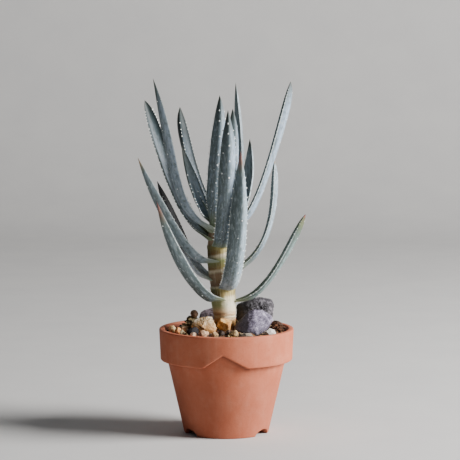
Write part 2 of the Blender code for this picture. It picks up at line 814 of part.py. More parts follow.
def main():
    clear_scene()
    make_pot()
    make_stem()
    green = material("leaf", (0.20, 0.27, 0.25), 0.55)
    for name in LEAVES:
        make_leaf(name, green)
    make_stones()
    make_soil()
    pieces = list(bpy.context.scene.objects)
    aloe = bpy.data.objects.new("aloe", None)
    bpy.context.scene.collection.objects.link(aloe)
    aloe.location = (POT_X * MM, 0.0, 0.0)
    for piece in pieces:
        piece.parent = aloe


main()
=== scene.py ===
# %% [markdown]
# # A young aloe in a small clay pot
# The plant is a short trunk with sixteen narrow leaves in view and two more behind them, standing
# in gravel in an unglazed pot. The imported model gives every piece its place. This script gives each
# one its fine surface: the leaves get a smooth keeled skin, teeth and pearly dots, the pot its fired
# clay, the stones their broken faces. Sizes are in millimetres, measured from the pot's own axis,
# as the maker of the plain model measured them, and are turned into metres where a mesh is made.

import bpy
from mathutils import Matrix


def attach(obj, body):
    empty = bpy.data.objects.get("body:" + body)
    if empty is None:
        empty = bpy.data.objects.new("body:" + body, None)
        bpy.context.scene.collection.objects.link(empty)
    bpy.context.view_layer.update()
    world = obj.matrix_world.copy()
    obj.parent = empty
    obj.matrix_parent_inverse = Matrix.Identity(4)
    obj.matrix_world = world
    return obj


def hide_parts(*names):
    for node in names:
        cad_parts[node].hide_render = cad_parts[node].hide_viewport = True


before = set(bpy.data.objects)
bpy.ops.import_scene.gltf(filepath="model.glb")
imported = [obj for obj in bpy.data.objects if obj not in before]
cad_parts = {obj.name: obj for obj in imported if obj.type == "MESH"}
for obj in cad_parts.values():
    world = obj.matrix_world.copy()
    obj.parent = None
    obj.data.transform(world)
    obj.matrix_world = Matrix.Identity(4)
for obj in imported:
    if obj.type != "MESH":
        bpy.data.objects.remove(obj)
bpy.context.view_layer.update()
print("pieces in the packed model:", len(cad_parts))

# %% Modules and the shared measures
import math
from typing import NamedTuple

import bmesh
import bpy
import numpy as np
from mathutils import Vector, noise

MM = 0.001
POT_X = 2.6
UP = np.array([0.0, 0.0, 1.0])

# %% [markdown]
# ## Making one piece
# Every piece is a mesh from points and faces that a rule works out. The same forms could be pulled
# and bent by hand, but arrays of points keep each shape exact and quick, and a size can be changed
# later without starting again. A piece is shaded smooth, with creases only where two faces meet at
# a steep angle, and it rides on the one body that the whole plant belongs to.


# %% A piece from points and faces
def make_piece(name, points, faces, finish, crease=40):
    mesh = bpy.data.meshes.new(name)
    shifted = np.asarray(points, float) + (POT_X, 0.0, 0.0)
    mesh.from_pydata((shifted * MM).tolist(), [], faces)
    work = bmesh.new()
    work.from_mesh(mesh)
    bmesh.ops.recalc_face_normals(work, faces=work.faces)
    work.to_mesh(mesh)
    work.free()
    mesh.materials.append(finish)
    mesh.shade_smooth()
    if crease:
        mesh.set_sharp_from_angle(angle=math.radians(crease))
    piece = bpy.data.objects.new(name, mesh)
    bpy.context.scene.collection.objects.link(piece)
    return piece


# %% Where a piece belongs
def place(piece, slot, *nodes):
    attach(piece, "root")
    if nodes:
        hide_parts(*nodes)
    return piece


# %% Numbers that a mesh carries for its finish
def carry(piece, **values):
    for name, numbers in values.items():
        stored = piece.data.attributes.new(name, "FLOAT", "POINT")
        stored.data.foreach_set("value", np.asarray(numbers, np.float32))


# %% Joining many small shapes in one
class Heap:
    """Points and faces of many small closed shapes, gathered for one mesh."""

    def __init__(self):
        self.points = []
        self.faces = []
        self.count = 0

    def add(self, points, faces):
        self.points.append(points)
        self.faces.extend((np.asarray(faces) + self.count).tolist())
        self.count += len(points)

    def make(self, name, finish, crease=50):
        print(name + ":", len(self.points), "shapes,", len(self.faces), "faces")
        return make_piece(name, np.concatenate(self.points), self.faces, finish, crease)


# %% Even balls, made once for each fineness
BALLS = {}


def ball(fineness):
    if fineness not in BALLS:
        work = bmesh.new()
        bmesh.ops.create_icosphere(work, subdivisions=fineness, radius=1.0)
        points = np.array([v.co for v in work.verts])
        faces = np.array([[v.index for v in f.verts] for f in work.faces])
        work.free()
        BALLS[fineness] = (points, faces)
    points, faces = BALLS[fineness]
    return points.copy(), faces


print("points of a coarse and a fine ball:", len(ball(2)[0]), "and", len(ball(5)[0]))


# %% Faces between rings of points
def ring_faces(rings, places, closed=False):
    """Four-sided faces that join each ring to the next, and if closed the last one to the first."""
    faces = []
    count = rings * places
    for low in range(0, count if closed else count - places, places):
        high = (low + places) % count
        for k in range(places):
            after = (k + 1) % places
            faces.append((low + k, low + after, high + after, high + k))
    return faces


def capped_faces(rings, places):
    """The same, closed by a flat face over the first and the last ring."""
    last = (rings - 1) * places
    return ring_faces(rings, places) + [tuple(range(places)), tuple(range(last, last + places))]


# %% Small helpers for directions and smooth steps
def unit(rows):
    return rows / np.linalg.norm(rows, axis=-1, keepdims=True)


def ease(share):
    share = np.clip(share, 0.0, 1.0)
    return share * share * (3.0 - 2.0 * share)


def turned(points, degrees):
    turn = math.radians(degrees)
    cosine = math.cos(turn)
    sine = math.sin(turn)
    return points @ np.array([[cosine, sine, 0.0], [-sine, cosine, 0.0], [0.0, 0.0, 1.0]])


def ruggedness(points, size, octaves=4):
    """Fractal noise at each point, for bumps of about this size."""
    return np.array([noise.fractal(Vector(p / size), 0.9, 2.0, octaves) for p in points])


# %% [markdown]
# ## Building a finish
# Real surfaces vary: clay has grain and bloom, a leaf has streaks and a pale edge. Each finish
# here is a small tree of nodes on one Principled shader. It could be wired by hand in the shader
# editor. A few small classes keep the wiring short instead, so that every finish below reads as a
# list of what the surface really has. Colours are given as they look on a screen, from 0 to 255.


# %% Screen colours as light
def tint(red, green, blue):
    """A colour as it looks on a screen, as the amount of light it reflects."""
    parts = [c / 255.0 for c in (red, green, blue)]
    return tuple(c / 12.92 if c < 0.04045 else ((c + 0.055) / 1.055) ** 2.4 for c in parts)


print("a middle grey on the screen reflects", round(tint(128, 128, 128)[0], 2), "of the light")


# %% A tree of nodes, and numbers worked out in it
class Wiring:
    """Short ways to add nodes to a tree and to join them."""

    def __init__(self, tree):
        self.tree = tree

    def wire(self, source, target):
        self.tree.links.new(source, target)

    def fill(self, socket, value):
        if hasattr(value, "is_output"):
            self.wire(value, socket)
        elif isinstance(value, tuple):
            socket.default_value = (*tint(*value), 1.0)
        else:
            socket.default_value = value

    def combine(self, kind, first, second):
        """Two numbers added, subtracted or multiplied."""
        node = self.tree.nodes.new("ShaderNodeMath")
        node.operation = kind
        self.fill(node.inputs[0], first)
        self.fill(node.inputs[1], second)
        return node.outputs[0]

    def span(self, source, low, high):
        """A value stretched so that low becomes 0 and high becomes 1."""
        node = self.tree.nodes.new("ShaderNodeMapRange")
        self.wire(source, node.inputs["Value"])
        node.inputs["From Min"].default_value = low
        node.inputs["From Max"].default_value = high
        return node.outputs["Result"]


# %% Numbers and colours that change from place to place
class Surface(Wiring):
    def spots(self):
        """Each point's own place on the object, in metres."""
        return self.tree.nodes.new("ShaderNodeTexCoord").outputs["Object"]

    def stored(self, name):
        """A number that the mesh carries at each point."""
        node = self.tree.nodes.new("ShaderNodeAttribute")
        node.attribute_name = name
        return node.outputs["Fac"]

    def stretch(self, scale):
        node = self.tree.nodes.new("ShaderNodeMapping")
        node.inputs["Scale"].default_value = scale
        self.wire(self.spots(), node.inputs["Vector"])
        return node.outputs["Vector"]

    def noise(self, size, detail=4.0, rough=0.55, spots=None):
        """Cloudy noise with features of this size in millimetres."""
        node = self.tree.nodes.new("ShaderNodeTexNoise")
        node.inputs["Scale"].default_value = 1.0 / (size * MM)
        node.inputs["Detail"].default_value = detail
        node.inputs["Roughness"].default_value = rough
        self.wire(spots or self.spots(), node.inputs["Vector"])
        return node.outputs["Fac"]

    def veins(self, width, length):
        """Streaks this wide across a piece and this long along it, in millimetres."""
        node = self.tree.nodes.new("ShaderNodeCombineXYZ")
        self.wire(self.combine("MULTIPLY", self.stored("across"), MM), node.inputs[0])
        self.wire(self.combine("MULTIPLY", self.stored("along"), MM * width / length), node.inputs[1])
        return self.noise(width, 3.0, 0.6, node.outputs[0])

    def axis(self, which):
        node = self.tree.nodes.new("ShaderNodeSeparateXYZ")
        self.wire(self.spots(), node.inputs[0])
        return node.outputs[which]

    def ramp(self, source, *stops):
        """Screen colours or plain numbers at places from 0 to 1 along a value."""
        node = self.tree.nodes.new("ShaderNodeValToRGB")
        line = node.color_ramp.elements
        while len(line) < len(stops):
            line.new(0.5)
        for element, (at, colour) in zip(line, stops):
            element.position = at
            shade = tint(*colour) if isinstance(colour, tuple) else (colour, colour, colour)
            element.color = (*shade, 1.0)
        self.wire(source, node.inputs["Fac"])
        return node.outputs["Color"]

    def mix(self, share, first, second):
        """The first colour where the share is 0, the second where it is 1."""
        node = self.tree.nodes.new("ShaderNodeMix")
        node.data_type = "RGBA"
        self.fill(node.inputs[0], share)
        self.fill(node.inputs[6], first)
        self.fill(node.inputs[7], second)
        return node.outputs[2]


# %% A finish: a material whose colour, roughness and relief are built up from nodes
SHEEN = 0.35


class Finish(Surface):
    def __init__(self, name, roughness):
        self.material = bpy.data.materials.new(name)
        self.material.use_nodes = True
        super().__init__(self.material.node_tree)
        self.shader = self.tree.nodes["Principled BSDF"]
        self.shader.inputs["Roughness"].default_value = roughness
        self.shader.inputs["Specular IOR Level"].default_value = SHEEN

    def colour(self, source):
        self.fill(self.shader.inputs["Base Color"], source)

    def roughness(self, source):
        self.wire(source, self.shader.inputs["Roughness"])

    def relief(self, height, depth):
        """Fine relief this deep, in millimetres."""
        node = self.tree.nodes.new("ShaderNodeBump")
        node.inputs["Distance"].default_value = depth * MM
        node.inputs["Strength"].default_value = 1.0
        self.wire(height, node.inputs["Height"])
        earlier = self.shader.inputs["Normal"]
        if earlier.is_linked:
            self.wire(earlier.links[0].from_socket, node.inputs["Normal"])
        self.wire(node.outputs["Normal"], earlier)


# %% [markdown]
# ## Camera, floor and light
# The view is from the front, a little above the rim, through a long lens from 1.4 metres away, so
# the pot's rim shows as a thin ellipse. Light comes softly from the right and a little from the
# front, as from a large window, and the room gives a weak fill from everywhere, so the left sides
# of pot and leaves stay dark. Three lamps all round would show more of the plant, but they would
# flatten the leaves. One wide lamp keeps their round backs and soft shadows.

# %% Camera
EYE = Vector((5.0, -1400.0, 277.6)) * MM
LOOK_DOWN = 5.79
FOCAL_PIXELS = 2115.0
FRAME_PIXELS = 460.0

lens = bpy.data.cameras.new("camera")
lens.sensor_width = 36.0
lens.lens = lens.sensor_width * FOCAL_PIXELS / FRAME_PIXELS
lens.clip_end = 20.0
camera = bpy.data.objects.new("camera", lens)
camera.location = EYE
camera.rotation_euler = (math.radians(90.0 - LOOK_DOWN), 0.0, 0.0)
bpy.context.scene.collection.objects.link(camera)
bpy.context.scene.camera = camera
print("lens:", round(lens.lens, 1), "mm")


# %% Pale floor with a curved back, in metres
FLOOR_FRONT = -6.0
FLOOR_BACK = 1.2
FLOOR_SIDE = 7.0
BEND_RADIUS = 0.5
BEND_STEPS = 16
BACK_HEIGHT = 2.5


def make_floor():
    finish = Finish("floor", 0.8)
    finish.colour(finish.ramp(finish.noise(60.0), (0.3, (204, 203, 202)), (0.7, (209, 208, 206))))
    rows = [(FLOOR_FRONT, 0.0)]
    for k in range(BEND_STEPS + 1):
        bend = math.pi / 2 * k / BEND_STEPS
        rows.append((FLOOR_BACK + BEND_RADIUS * math.sin(bend), BEND_RADIUS - BEND_RADIUS * math.cos(bend)))
    rows.append((FLOOR_BACK + BEND_RADIUS, BACK_HEIGHT))
    points = [(x, y, z) for y, z in rows for x in (-FLOOR_SIDE, FLOOR_SIDE)]
    faces = [(2 * k, 2 * k + 1, 2 * k + 3, 2 * k + 2) for k in range(len(rows) - 1)]
    mesh = bpy.data.meshes.new("floor")
    mesh.from_pydata(points, [], faces)
    mesh.materials.append(finish.material)
    mesh.shade_smooth()
    floor = bpy.data.objects.new("floor", mesh)
    bpy.context.scene.collection.objects.link(floor)


make_floor()


# %% One soft light, as wide as a window, aimed at the middle of the plant
WINDOW_PLACE = Vector((1.45, -0.33, 0.75))
WINDOW_WIDTH = 0.9
WINDOW_WATTS = 90.0
PLANT_MIDDLE = Vector((0.0, 0.0, 0.12))

lamp = bpy.data.lights.new("window", "AREA")
lamp.shape = "DISK"
lamp.size = WINDOW_WIDTH
lamp.energy = WINDOW_WATTS
lamp.color = (1.0, 0.985, 0.97)
light = bpy.data.objects.new("window", lamp)
light.location = WINDOW_PLACE
light.rotation_euler = (PLANT_MIDDLE - WINDOW_PLACE).to_track_quat("-Z", "Y").to_euler()
bpy.context.scene.collection.objects.link(light)
print("window:", round((PLANT_MIDDLE - WINDOW_PLACE).length, 2), "m away")

# %% The weak fill from the room
ROOM_COLOUR = (0.86, 0.92, 1.0, 1.0)
ROOM_STRENGTH = 0.09

world = bpy.data.worlds.new("room")
world.use_nodes = True
fill = world.node_tree.nodes["Background"]
fill.inputs["Color"].default_value = ROOM_COLOUR
fill.inputs["Strength"].default_value = ROOM_STRENGTH
bpy.context.scene.world = world

# %% [markdown]
# ## Fired clay
# Unglazed earthenware is matte and fine-grained. Its colour drifts slowly from orange to brown,
# paler where salts have come through to the surface, with tiny dark specks of sand. A picture of
# clay could be wrapped round the pot, but it would repeat and show a seam. Noise in the pot's own
# space has neither, and its sizes are given in millimetres, so the grain is as fine as real clay.


# %% Terracotta
def make_terracotta():
    clay = Finish("terracotta", 0.84)
    drift = clay.noise(16.0, 3.0)
    base = clay.ramp(drift, (0.30, (178, 96, 66)), (0.70, (190, 109, 79)))
    bloom = clay.ramp(clay.noise(7.0, 6.0, 0.65), (0.50, 0.0), (0.85, 0.24))
    pale = clay.mix(bloom, base, (208, 152, 126))
    streaks = clay.noise(5.0, 3.0, 0.6, clay.stretch((1.0, 1.0, 0.12)))
    washed = clay.mix(clay.ramp(streaks, (0.50, 0.0), (0.80, 0.22)), pale, (206, 146, 118))
    specks = clay.ramp(clay.noise(0.5, 2.0, 0.6), (0.30, 0.55), (0.42, 0.0))
    dotted = clay.mix(specks, washed, (136, 72, 50))
    # The darkening that the mesh carries: painted shade inside the wall, a painted shadow under the collar,
    # and a darker foot.
    clay.colour(clay.mix(clay.ramp(clay.stored("damp"), (0.0, 0.0), (1.0, 0.8)), dotted, (104, 54, 40)))
    clay.relief(clay.noise(0.45, 3.0, 0.7), 0.06)
    clay.relief(clay.noise(1.6, 3.0, 0.6, clay.stretch((0.1, 0.1, 1.0))), 0.05)
    clay.relief(clay.noise(3.0, 3.0), 0.12)
    return clay.material


TERRACOTTA = make_terracotta()

# %% [markdown]
# ## The pot
# A tapered body with a thick turned-over collar, whose lower edge rises to a point at the front.
# A lathe, such as the Screw modifier, would turn a plain pot at once, but it makes every section
# alike, and here the collar's edge changes on the way round. So the section is worked out anew at
# each angle. Three arched notches in the foot let water out: there each low point is lifted to the
# arch, which keeps the wall in one piece and its edge soft, where cutting them out would leave a
# ragged edge. The clay is slightly uneven, as pressed clay is.

# %% The pot's measures; the collar's three corners have an angle from the front and a rise
POT_HEIGHT = 70.0
RIM_RADIUS = 45.0
BAND_FOOT_RADIUS = 44.1
BAND_HEIGHT = 21.0
NECK_RADIUS = 39.5
FOOT_RADIUS = 28.3
LIP_WALL = 3.6
INNER_NECK_RADIUS = 36.0
INNER_FLOOR_RADIUS = 26.0
RECESS_RADIUS = 23.0
RECESS_DEPTH = 3.0
FLOOR_TOP = 8.0
DRAIN_RADIUS = 6.0
COLLAR = ((-21.0, 0.0), (-3.0, 8.9), (18.5, 0.0))
NOTCH_ANGLES = (-58.0, 58.0, 180.0)
NOTCH_HALF_WIDTH = 7.4
NOTCH_HEIGHT = 4.3
CLAY_DENT = 0.12
CLAY_DENT_SIZE = 22.0


# %% The collar's lower edge
def collar_edge(angle):
    """Height of the collar's lower edge at an angle from the front, its corners a little soft."""
    level = POT_HEIGHT - BAND_HEIGHT
    around = [angle + shift for shift in (-1.0, -0.5, 0.0, 0.5, 1.0)]
    rises = np.interp(around, [c[0] for c in COLLAR], [c[1] for c in COLLAR])
    return level + float(rises.mean())


print("collar's edge at its point:", round(collar_edge(COLLAR[1][0]), 1), "mm high")


# %% Rounded corners of a section
ARC_STEPS = 5


def rounded(corners):
    """A closed section with each corner (radius, z, rounding) turned through a small arc."""
    outline = []
    count = len(corners)
    for k, (radius, z, soft) in enumerate(corners):
        here = np.array([radius, z])
        before = np.array(corners[k - 1][:2]) - here
        after = np.array(corners[(k + 1) % count][:2]) - here
        if soft <= 0:
            outline.append(tuple(here))
            continue
        start = here + before * soft / np.linalg.norm(before)
        end = here + after * soft / np.linalg.norm(after)
        for j in range(ARC_STEPS + 1):
            t = j / ARC_STEPS
            point = (1 - t) ** 2 * start + 2 * t * (1 - t) * here + t * t * end
            outline.append(tuple(point))
    return outline


# %% The pot's section at one angle
def pot_section(edge):
    under_band = POT_HEIGHT - BAND_HEIGHT
    body = FOOT_RADIUS + (NECK_RADIUS - FOOT_RADIUS) * edge / under_band
    band = BAND_FOOT_RADIUS + (RIM_RADIUS - BAND_FOOT_RADIUS) * (edge - under_band) / BAND_HEIGHT
    inner_top = RIM_RADIUS - LIP_WALL
    return rounded(
        [
            (DRAIN_RADIUS, RECESS_DEPTH, 0.5),
            (RECESS_RADIUS, RECESS_DEPTH, 0.8),
            (RECESS_RADIUS + 0.8, 0.0, 0.5),
            (FOOT_RADIUS, 0.0, 0.7),
            (body, edge, 0.5),
            (band, edge, 1.1),
            (RIM_RADIUS, POT_HEIGHT, 1.1),
            (inner_top, POT_HEIGHT, 1.1),
            (INNER_NECK_RADIUS, under_band, 3.0),
            (INNER_FLOOR_RADIUS, FLOOR_TOP, 3.0),
            (DRAIN_RADIUS, FLOOR_TOP, 0.5),
        ]
    )


# %% Columns that follow the collar's point and the notches
POT_COLUMNS = 300
NOTCH_COLUMNS = 24
LEAST_TURN = 0.08


def pot_columns():
    angles = set(np.linspace(-180.0, 180.0, POT_COLUMNS, endpoint=False).round(3))
    angles |= {round(c[0] + shift, 3) for c in COLLAR for shift in (-1.5, -0.75, 0.0, 0.75, 1.5)}
    reach = math.degrees(math.asin(NOTCH_HALF_WIDTH / FOOT_RADIUS))
    for middle in NOTCH_ANGLES:
        for k in range(NOTCH_COLUMNS + 1):
            angle = middle + reach * math.cos(math.pi * k / NOTCH_COLUMNS)
            angles.add(round((angle + 180.0) % 360.0 - 180.0, 3))
    kept = []
    for angle in sorted(angles):
        if not kept or angle - kept[-1] > LEAST_TURN:
            kept.append(angle)
    return kept


# %% Lifting the foot to the notches' arches, which open into the recess
NOTCH_REACH_IN = 3.0


def notched(points):
    lifted = points.copy()
    radius = np.hypot(points[:, 0], points[:, 1])
    for middle in NOTCH_ANGLES:
        out = math.radians(middle)
        along = points[:, 0] * math.sin(out) - points[:, 1] * math.cos(out)
        across = points[:, 0] * math.cos(out) + points[:, 1] * math.sin(out)
        inside = np.clip(1.0 - (across / NOTCH_HALF_WIDTH) ** 2, 0.0, 1.0)
        arch = NOTCH_HEIGHT * np.sqrt(inside)
        near = (along > 0) & (radius > RECESS_RADIUS - NOTCH_REACH_IN) & (points[:, 2] < arch)
        lifted[near, 2] = arch[near]
    return lifted


# %% Rows of the section: how many steps follow each of its rounded corners
WALL_STEPS = (10, 2, 3, 34, 3, 16, 2, 14, 24, 10, 3)


def pot_rows(edge):
    """The section with equally many points at every angle, so that rows run round the pot."""
    corners = pot_section(edge)
    arc_size = len(corners) // len(WALL_STEPS)
    found = []
    for k, steps in enumerate(WALL_STEPS):
        arc = corners[k * arc_size : (k + 1) * arc_size]
        found.extend(arc)
        start = np.array(arc[-1])
        end = np.array(corners[(k + 1) * arc_size % len(corners)])
        for j in range(1, steps):
            found.append(tuple(start + (end - start) * j / steps))
    return np.array(found)


# %% Where the clay is painted darker: painted shade inside its wall, darker towards the bottom, and a painted shadow under the collar's edge, strongest under its right slope, away from the lamp
WALL_HEIGHTS = (0.0, 8.0, 49.0, 70.0)
WALL_MIDDLES = (26.0, 28.0, 37.7, 43.2)
LOW_DARKENING = 0.30
LOW_DARKENING_TOP = 52.0
LOW_DARKENING_SPAN = 30.0
COLLAR_SHADOW_DROP = 0.7
COLLAR_SHADOW_REACH = 2.1
COLLAR_SHADOW_TURNS = (-4.0, 24.0)
COLLAR_SHADOW_LIT_SIDE = 0.35


def darkened_clay(points):
    z = points[:, 2]
    radius = np.hypot(points[:, 0], points[:, 1])
    middle_of_wall = np.interp(z, WALL_HEIGHTS, WALL_MIDDLES)
    # Painted shade on all the inside surfaces, fading out just below the rim.
    damp = np.clip((POT_HEIGHT - z) / 1.5, 0.0, 1.0)
    # The clay is painted a little darker towards the bottom.
    low_down = LOW_DARKENING * np.clip((LOW_DARKENING_TOP - z) / LOW_DARKENING_SPAN, 0.0, 1.0)
    # A painted shadow in a thin line under the collar's edge, full on the side away from the lamp and weaker
    # elsewhere.
    turns = np.degrees(np.arctan2(points[:, 0], -points[:, 1]))
    edges = np.interp(turns, [c[0] for c in COLLAR], [c[1] for c in COLLAR]) + POT_HEIGHT - BAND_HEIGHT
    below = np.clip(1.0 - np.abs(edges - COLLAR_SHADOW_DROP - z) / COLLAR_SHADOW_REACH, 0.0, 1.0)
    body = FOOT_RADIUS + (NECK_RADIUS - FOOT_RADIUS) * z / (POT_HEIGHT - BAND_HEIGHT)
    shaded = (turns > COLLAR_SHADOW_TURNS[0]) & (turns < COLLAR_SHADOW_TURNS[1])
    collar_shadow = below * (np.abs(radius - body) < 1.5) * np.where(shaded, 1.0, COLLAR_SHADOW_LIT_SIDE)
    return np.where(radius < middle_of_wall, damp, np.maximum(low_down, collar_shadow))


# %% The pot
def make_pot():
    columns = pot_columns()
    points = []
    for angle in columns:
        turn = math.radians(angle)
        section = pot_rows(collar_edge(angle))
        x = section[:, 0] * math.sin(turn)
        y = -section[:, 0] * math.cos(turn)
        points.append(np.stack([x, y, section[:, 1]], axis=1))
    rows = len(points[0])
    points = notched(np.concatenate(points))
    hollow = CLAY_DENT * np.abs(ruggedness(points, CLAY_DENT_SIZE, 2)) / RIM_RADIUS
    points[:, :2] *= (1.0 - hollow)[:, None]
    piece = make_piece("clay_pot", points, ring_faces(len(columns), rows, closed=True), TERRACOTTA, 55)
    carry(piece, damp=darkened_clay(points))
    print("pot:", len(columns), "columns of", rows, "points")
    return place(piece, "terracotta", "pot")


make_pot()

# %% [markdown]
# ## Soil
# The pot holds a dark gritty mix, heaped a little towards the stem and filling the pot down to its
# floor. A displace modifier over a disc would roughen its top as well, but rings of points keep the
# plain hole for the stem and the edge at the pot's wall where they should be, and only the top is
# moved by noise.

# %% The soil's measures: how high it lies, the hole for the stem, and its side and floor
SOIL_EDGE = 67.0
SOIL_CROWN = 70.0
STEM_HOLE = ((6.2, 60.0), (6.9, 66.0))
TOP_FROM = 7.4
TOP_TO = 40.35
TOP_RINGS = 56
SOIL_SIDE = ((40.1, 64.0), (35.6, 49.0), (25.6, 8.3))
CLODS = 0.55
CRUMBS = 0.2
ROUGHEST = 0.9


def soil_top(radius):
    share = radius / (RIM_RADIUS - LIP_WALL)
    return SOIL_CROWN - (SOIL_CROWN - SOIL_EDGE) * share**2


print("soil at the stem:", round(soil_top(TOP_FROM), 1), "mm, at the wall:", round(soil_top(TOP_TO), 1), "mm")


# %% Finish of the soil and its grains
def make_earth(name, dark, light, rough=0.95):
    earth = Finish(name, rough)
    patches = earth.ramp(earth.noise(2.4, 5.0, 0.65), (0.35, dark), (0.66, light))
    earth.colour(earth.mix(earth.ramp(earth.noise(0.35, 3.0), (0.42, 0.0), (0.7, 0.5)), patches, dark))
    earth.relief(earth.noise(0.6, 5.0, 0.7), 0.25)
    return earth.material


# %% The fill
def make_soil():
    sides = 160
    top = [(r, soil_top(r)) for r in np.linspace(TOP_FROM, TOP_TO, TOP_RINGS)]
    rings = [*STEM_HOLE, *top, *SOIL_SIDE]
    turns = np.linspace(0.0, 2 * math.pi, sides, endpoint=False)
    points = np.array([(r * math.cos(t), r * math.sin(t), z) for r, z in rings for t in turns])
    rough = CLODS * ruggedness(points, 4.0) + CRUMBS * ruggedness(points, 1.0, 2)
    is_top = points[:, 2] > SOIL_EDGE - 0.5
    points[:, 2] += np.where(is_top, np.clip(rough, -ROUGHEST, ROUGHEST), 0.0)
    finish = make_earth("earth", (44, 31, 24), (92, 66, 48))
    print("soil:", len(rings), "rings of", sides)
    return place(make_piece("soil_fill", points, capped_faces(len(rings), sides), finish), "soil", "soil")


make_soil()

# %% [markdown]
# ## Loose grains
# What the eye sees of the soil are the grains that lie on it: bark, pumice, clay and small gravel,
# and here and there a small heap of them. A particle system could strew them, but its grains would
# have to be turned into a mesh before the plant can leave Blender. So each grain is a ball with a
# few sides cut flat, bent, stretched and laid down by seeded draws. Every one is different, and
# every run gives the same ground. Each kind of grain is one mesh, because one mesh is quicker than
# a thousand.


# %% One grain
GRAIN_FINENESS = 2
GRAIN_SIDES = 4
GRAIN_CUTS = (0.45, 0.8)
GRAIN_BUMPS = (0.92, 1.06)
GRAIN_LEAN = 35


def grain(rng, radius, stretch):
    """A small broken stone or bit of bark, a bent ball with a few flat sides."""
    points, faces = ball(GRAIN_FINENESS)
    for _ in range(GRAIN_SIDES):
        side = unit(rng.normal(size=3))
        over = np.maximum(points @ side - rng.uniform(*GRAIN_CUTS), 0.0)
        points -= over[:, None] * side
    points *= rng.uniform(*GRAIN_BUMPS, size=(len(points), 1))
    points *= radius * np.array(stretch)
    tip = math.radians(rng.uniform(-GRAIN_LEAN, GRAIN_LEAN))
    lean = np.array([[1, 0, 0], [0, math.cos(tip), -math.sin(tip)], [0, math.sin(tip), math.cos(tip)]])
    return turned(points @ lean.T, rng.uniform(0, 360)), faces


# %% Kinds of grain: how many, from how small to how big, their stretch, their dark and light colour
GRAIN_KINDS = {
    "bark_bits": (190, (0.9, 1.9), (1.7, 0.75, 0.45), (50, 33, 25), (112, 72, 48)),
    "dark_grit": (420, (0.5, 1.3), (1.1, 0.9, 0.8), (30, 25, 24), (74, 60, 54)),
    "brown_grit": (300, (0.5, 1.4), (1.1, 0.9, 0.8), (70, 44, 28), (122, 82, 52)),
    "ochre_grit": (150, (0.5, 1.6), (1.1, 0.9, 0.8), (156, 104, 54), (204, 156, 96)),
    "cream_grit": (170, (0.5, 1.7), (1.1, 0.9, 0.8), (168, 142, 102), (216, 196, 158)),
    "grey_grit": (150, (0.5, 1.5), (1.1, 0.9, 0.8), (104, 94, 92), (158, 146, 142)),
}


# %% Small heaps of grit: middle, reach, how many grains, dark and light colour
MOUNDS = {
    "mound_left": ((-23.0, 0.0, 72.4), (6.0, 4.5, 5.2), 110, (84, 70, 46), (156, 138, 100)),
    "mound_middle": ((9.2, 7.0, 70.5), (4.2, 4.0, 4.6), 60, (22, 17, 13), (150, 134, 98)),
    "mound_right": ((34.0, -4.5, 69.5), (5.0, 5.6, 3.2), 90, (30, 17, 11), (112, 68, 38)),
}


def make_mounds():
    rng = np.random.default_rng(8)
    for name, (middle, reach, count, dark, light) in MOUNDS.items():
        heap = Heap()
        for way in unit(rng.normal(size=(count, 3))):
            shape, faces = grain(rng, rng.uniform(0.7, 1.6), (1.3, 0.8, 0.6))
            heap.add(shape + np.array(middle) + way * reach * rng.uniform(0.5, 1.0), faces)
        place(heap.make(name, make_earth(name, dark, light, 0.9)), "soil")


make_mounds()


# %% The loose grains, from the stem to the pot's wall
GRAINS_FROM = 8.6
GRAINS_TO = 39.6


def make_grains():
    rng = np.random.default_rng(12)
    for name, (count, sizes, stretch, dark, light) in GRAIN_KINDS.items():
        heap = Heap()
        for _ in range(count):
            radius = sizes[0] + (sizes[1] - sizes[0]) * rng.uniform() ** 2
            reach = math.sqrt(rng.uniform(GRAINS_FROM**2, (GRAINS_TO - radius) ** 2))
            turn = rng.uniform(0, 2 * math.pi)
            shape, faces = grain(rng, radius, stretch)
            height = soil_top(reach) + radius * rng.uniform(0.0, 0.55)
            heap.add(shape + (reach * math.cos(turn), reach * math.sin(turn), height), faces)
        place(heap.make(name, make_earth(name, dark, light, 0.85)), "soil")


make_grains()

# %% [markdown]
# ## Stones
# Each loose stone is a ball cut by flat sides, as a broken rock is, then stretched to the size
# that it has in the pot. Sculpting twenty stones by hand would take long and couldn't be run again.
# The same seeded draws as in the plain model give the same sides. Here the ball is far finer, so
# the sides are truly flat and their edges crisp, and fractal noise adds the rough face of broken
# stone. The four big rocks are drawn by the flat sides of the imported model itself.

# %% Chips, and stones cut by flat sides that are drawn by chance
STONE_FINENESS = 5
STONE_SWELLS = 5
STONE_SWELL = 0.07
FACET_REACH = (0.62, 0.84)


def chipped(points, seed, chips, depth):
    """Small flat chips struck off corners and edges."""
    rng = np.random.default_rng(seed + 100)
    for side in unit(rng.normal(size=(chips, 3))):
        height = points @ side
        over = np.maximum(height - rng.uniform(depth, 0.99) * height.max(), 0.0)
        points = points - over[:, None] * side
    return points


def stone_points(size, seed, facets):
    points, faces = ball(STONE_FINENESS)
    rng = np.random.default_rng(seed)
    for swell in unit(rng.normal(size=(STONE_SWELLS, 3))):
        points *= (1.0 + STONE_SWELL * np.maximum(points @ swell, 0.0))[:, None]
    for _ in range(facets):
        side = unit(rng.normal(size=3))
        over = np.maximum(points @ side - rng.uniform(*FACET_REACH), 0.0)
        points -= over[:, None] * side
    low = points.min(axis=0)
    high = points.max(axis=0)
    return (points - (low + high) / 2) / (high - low) * np.array(size), faces


# %% The big rocks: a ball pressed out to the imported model's flat sides
ROCK_FINENESS = 6
EDGE_POWER = 60.0
OUTSET = {"rock_back": 1.5}


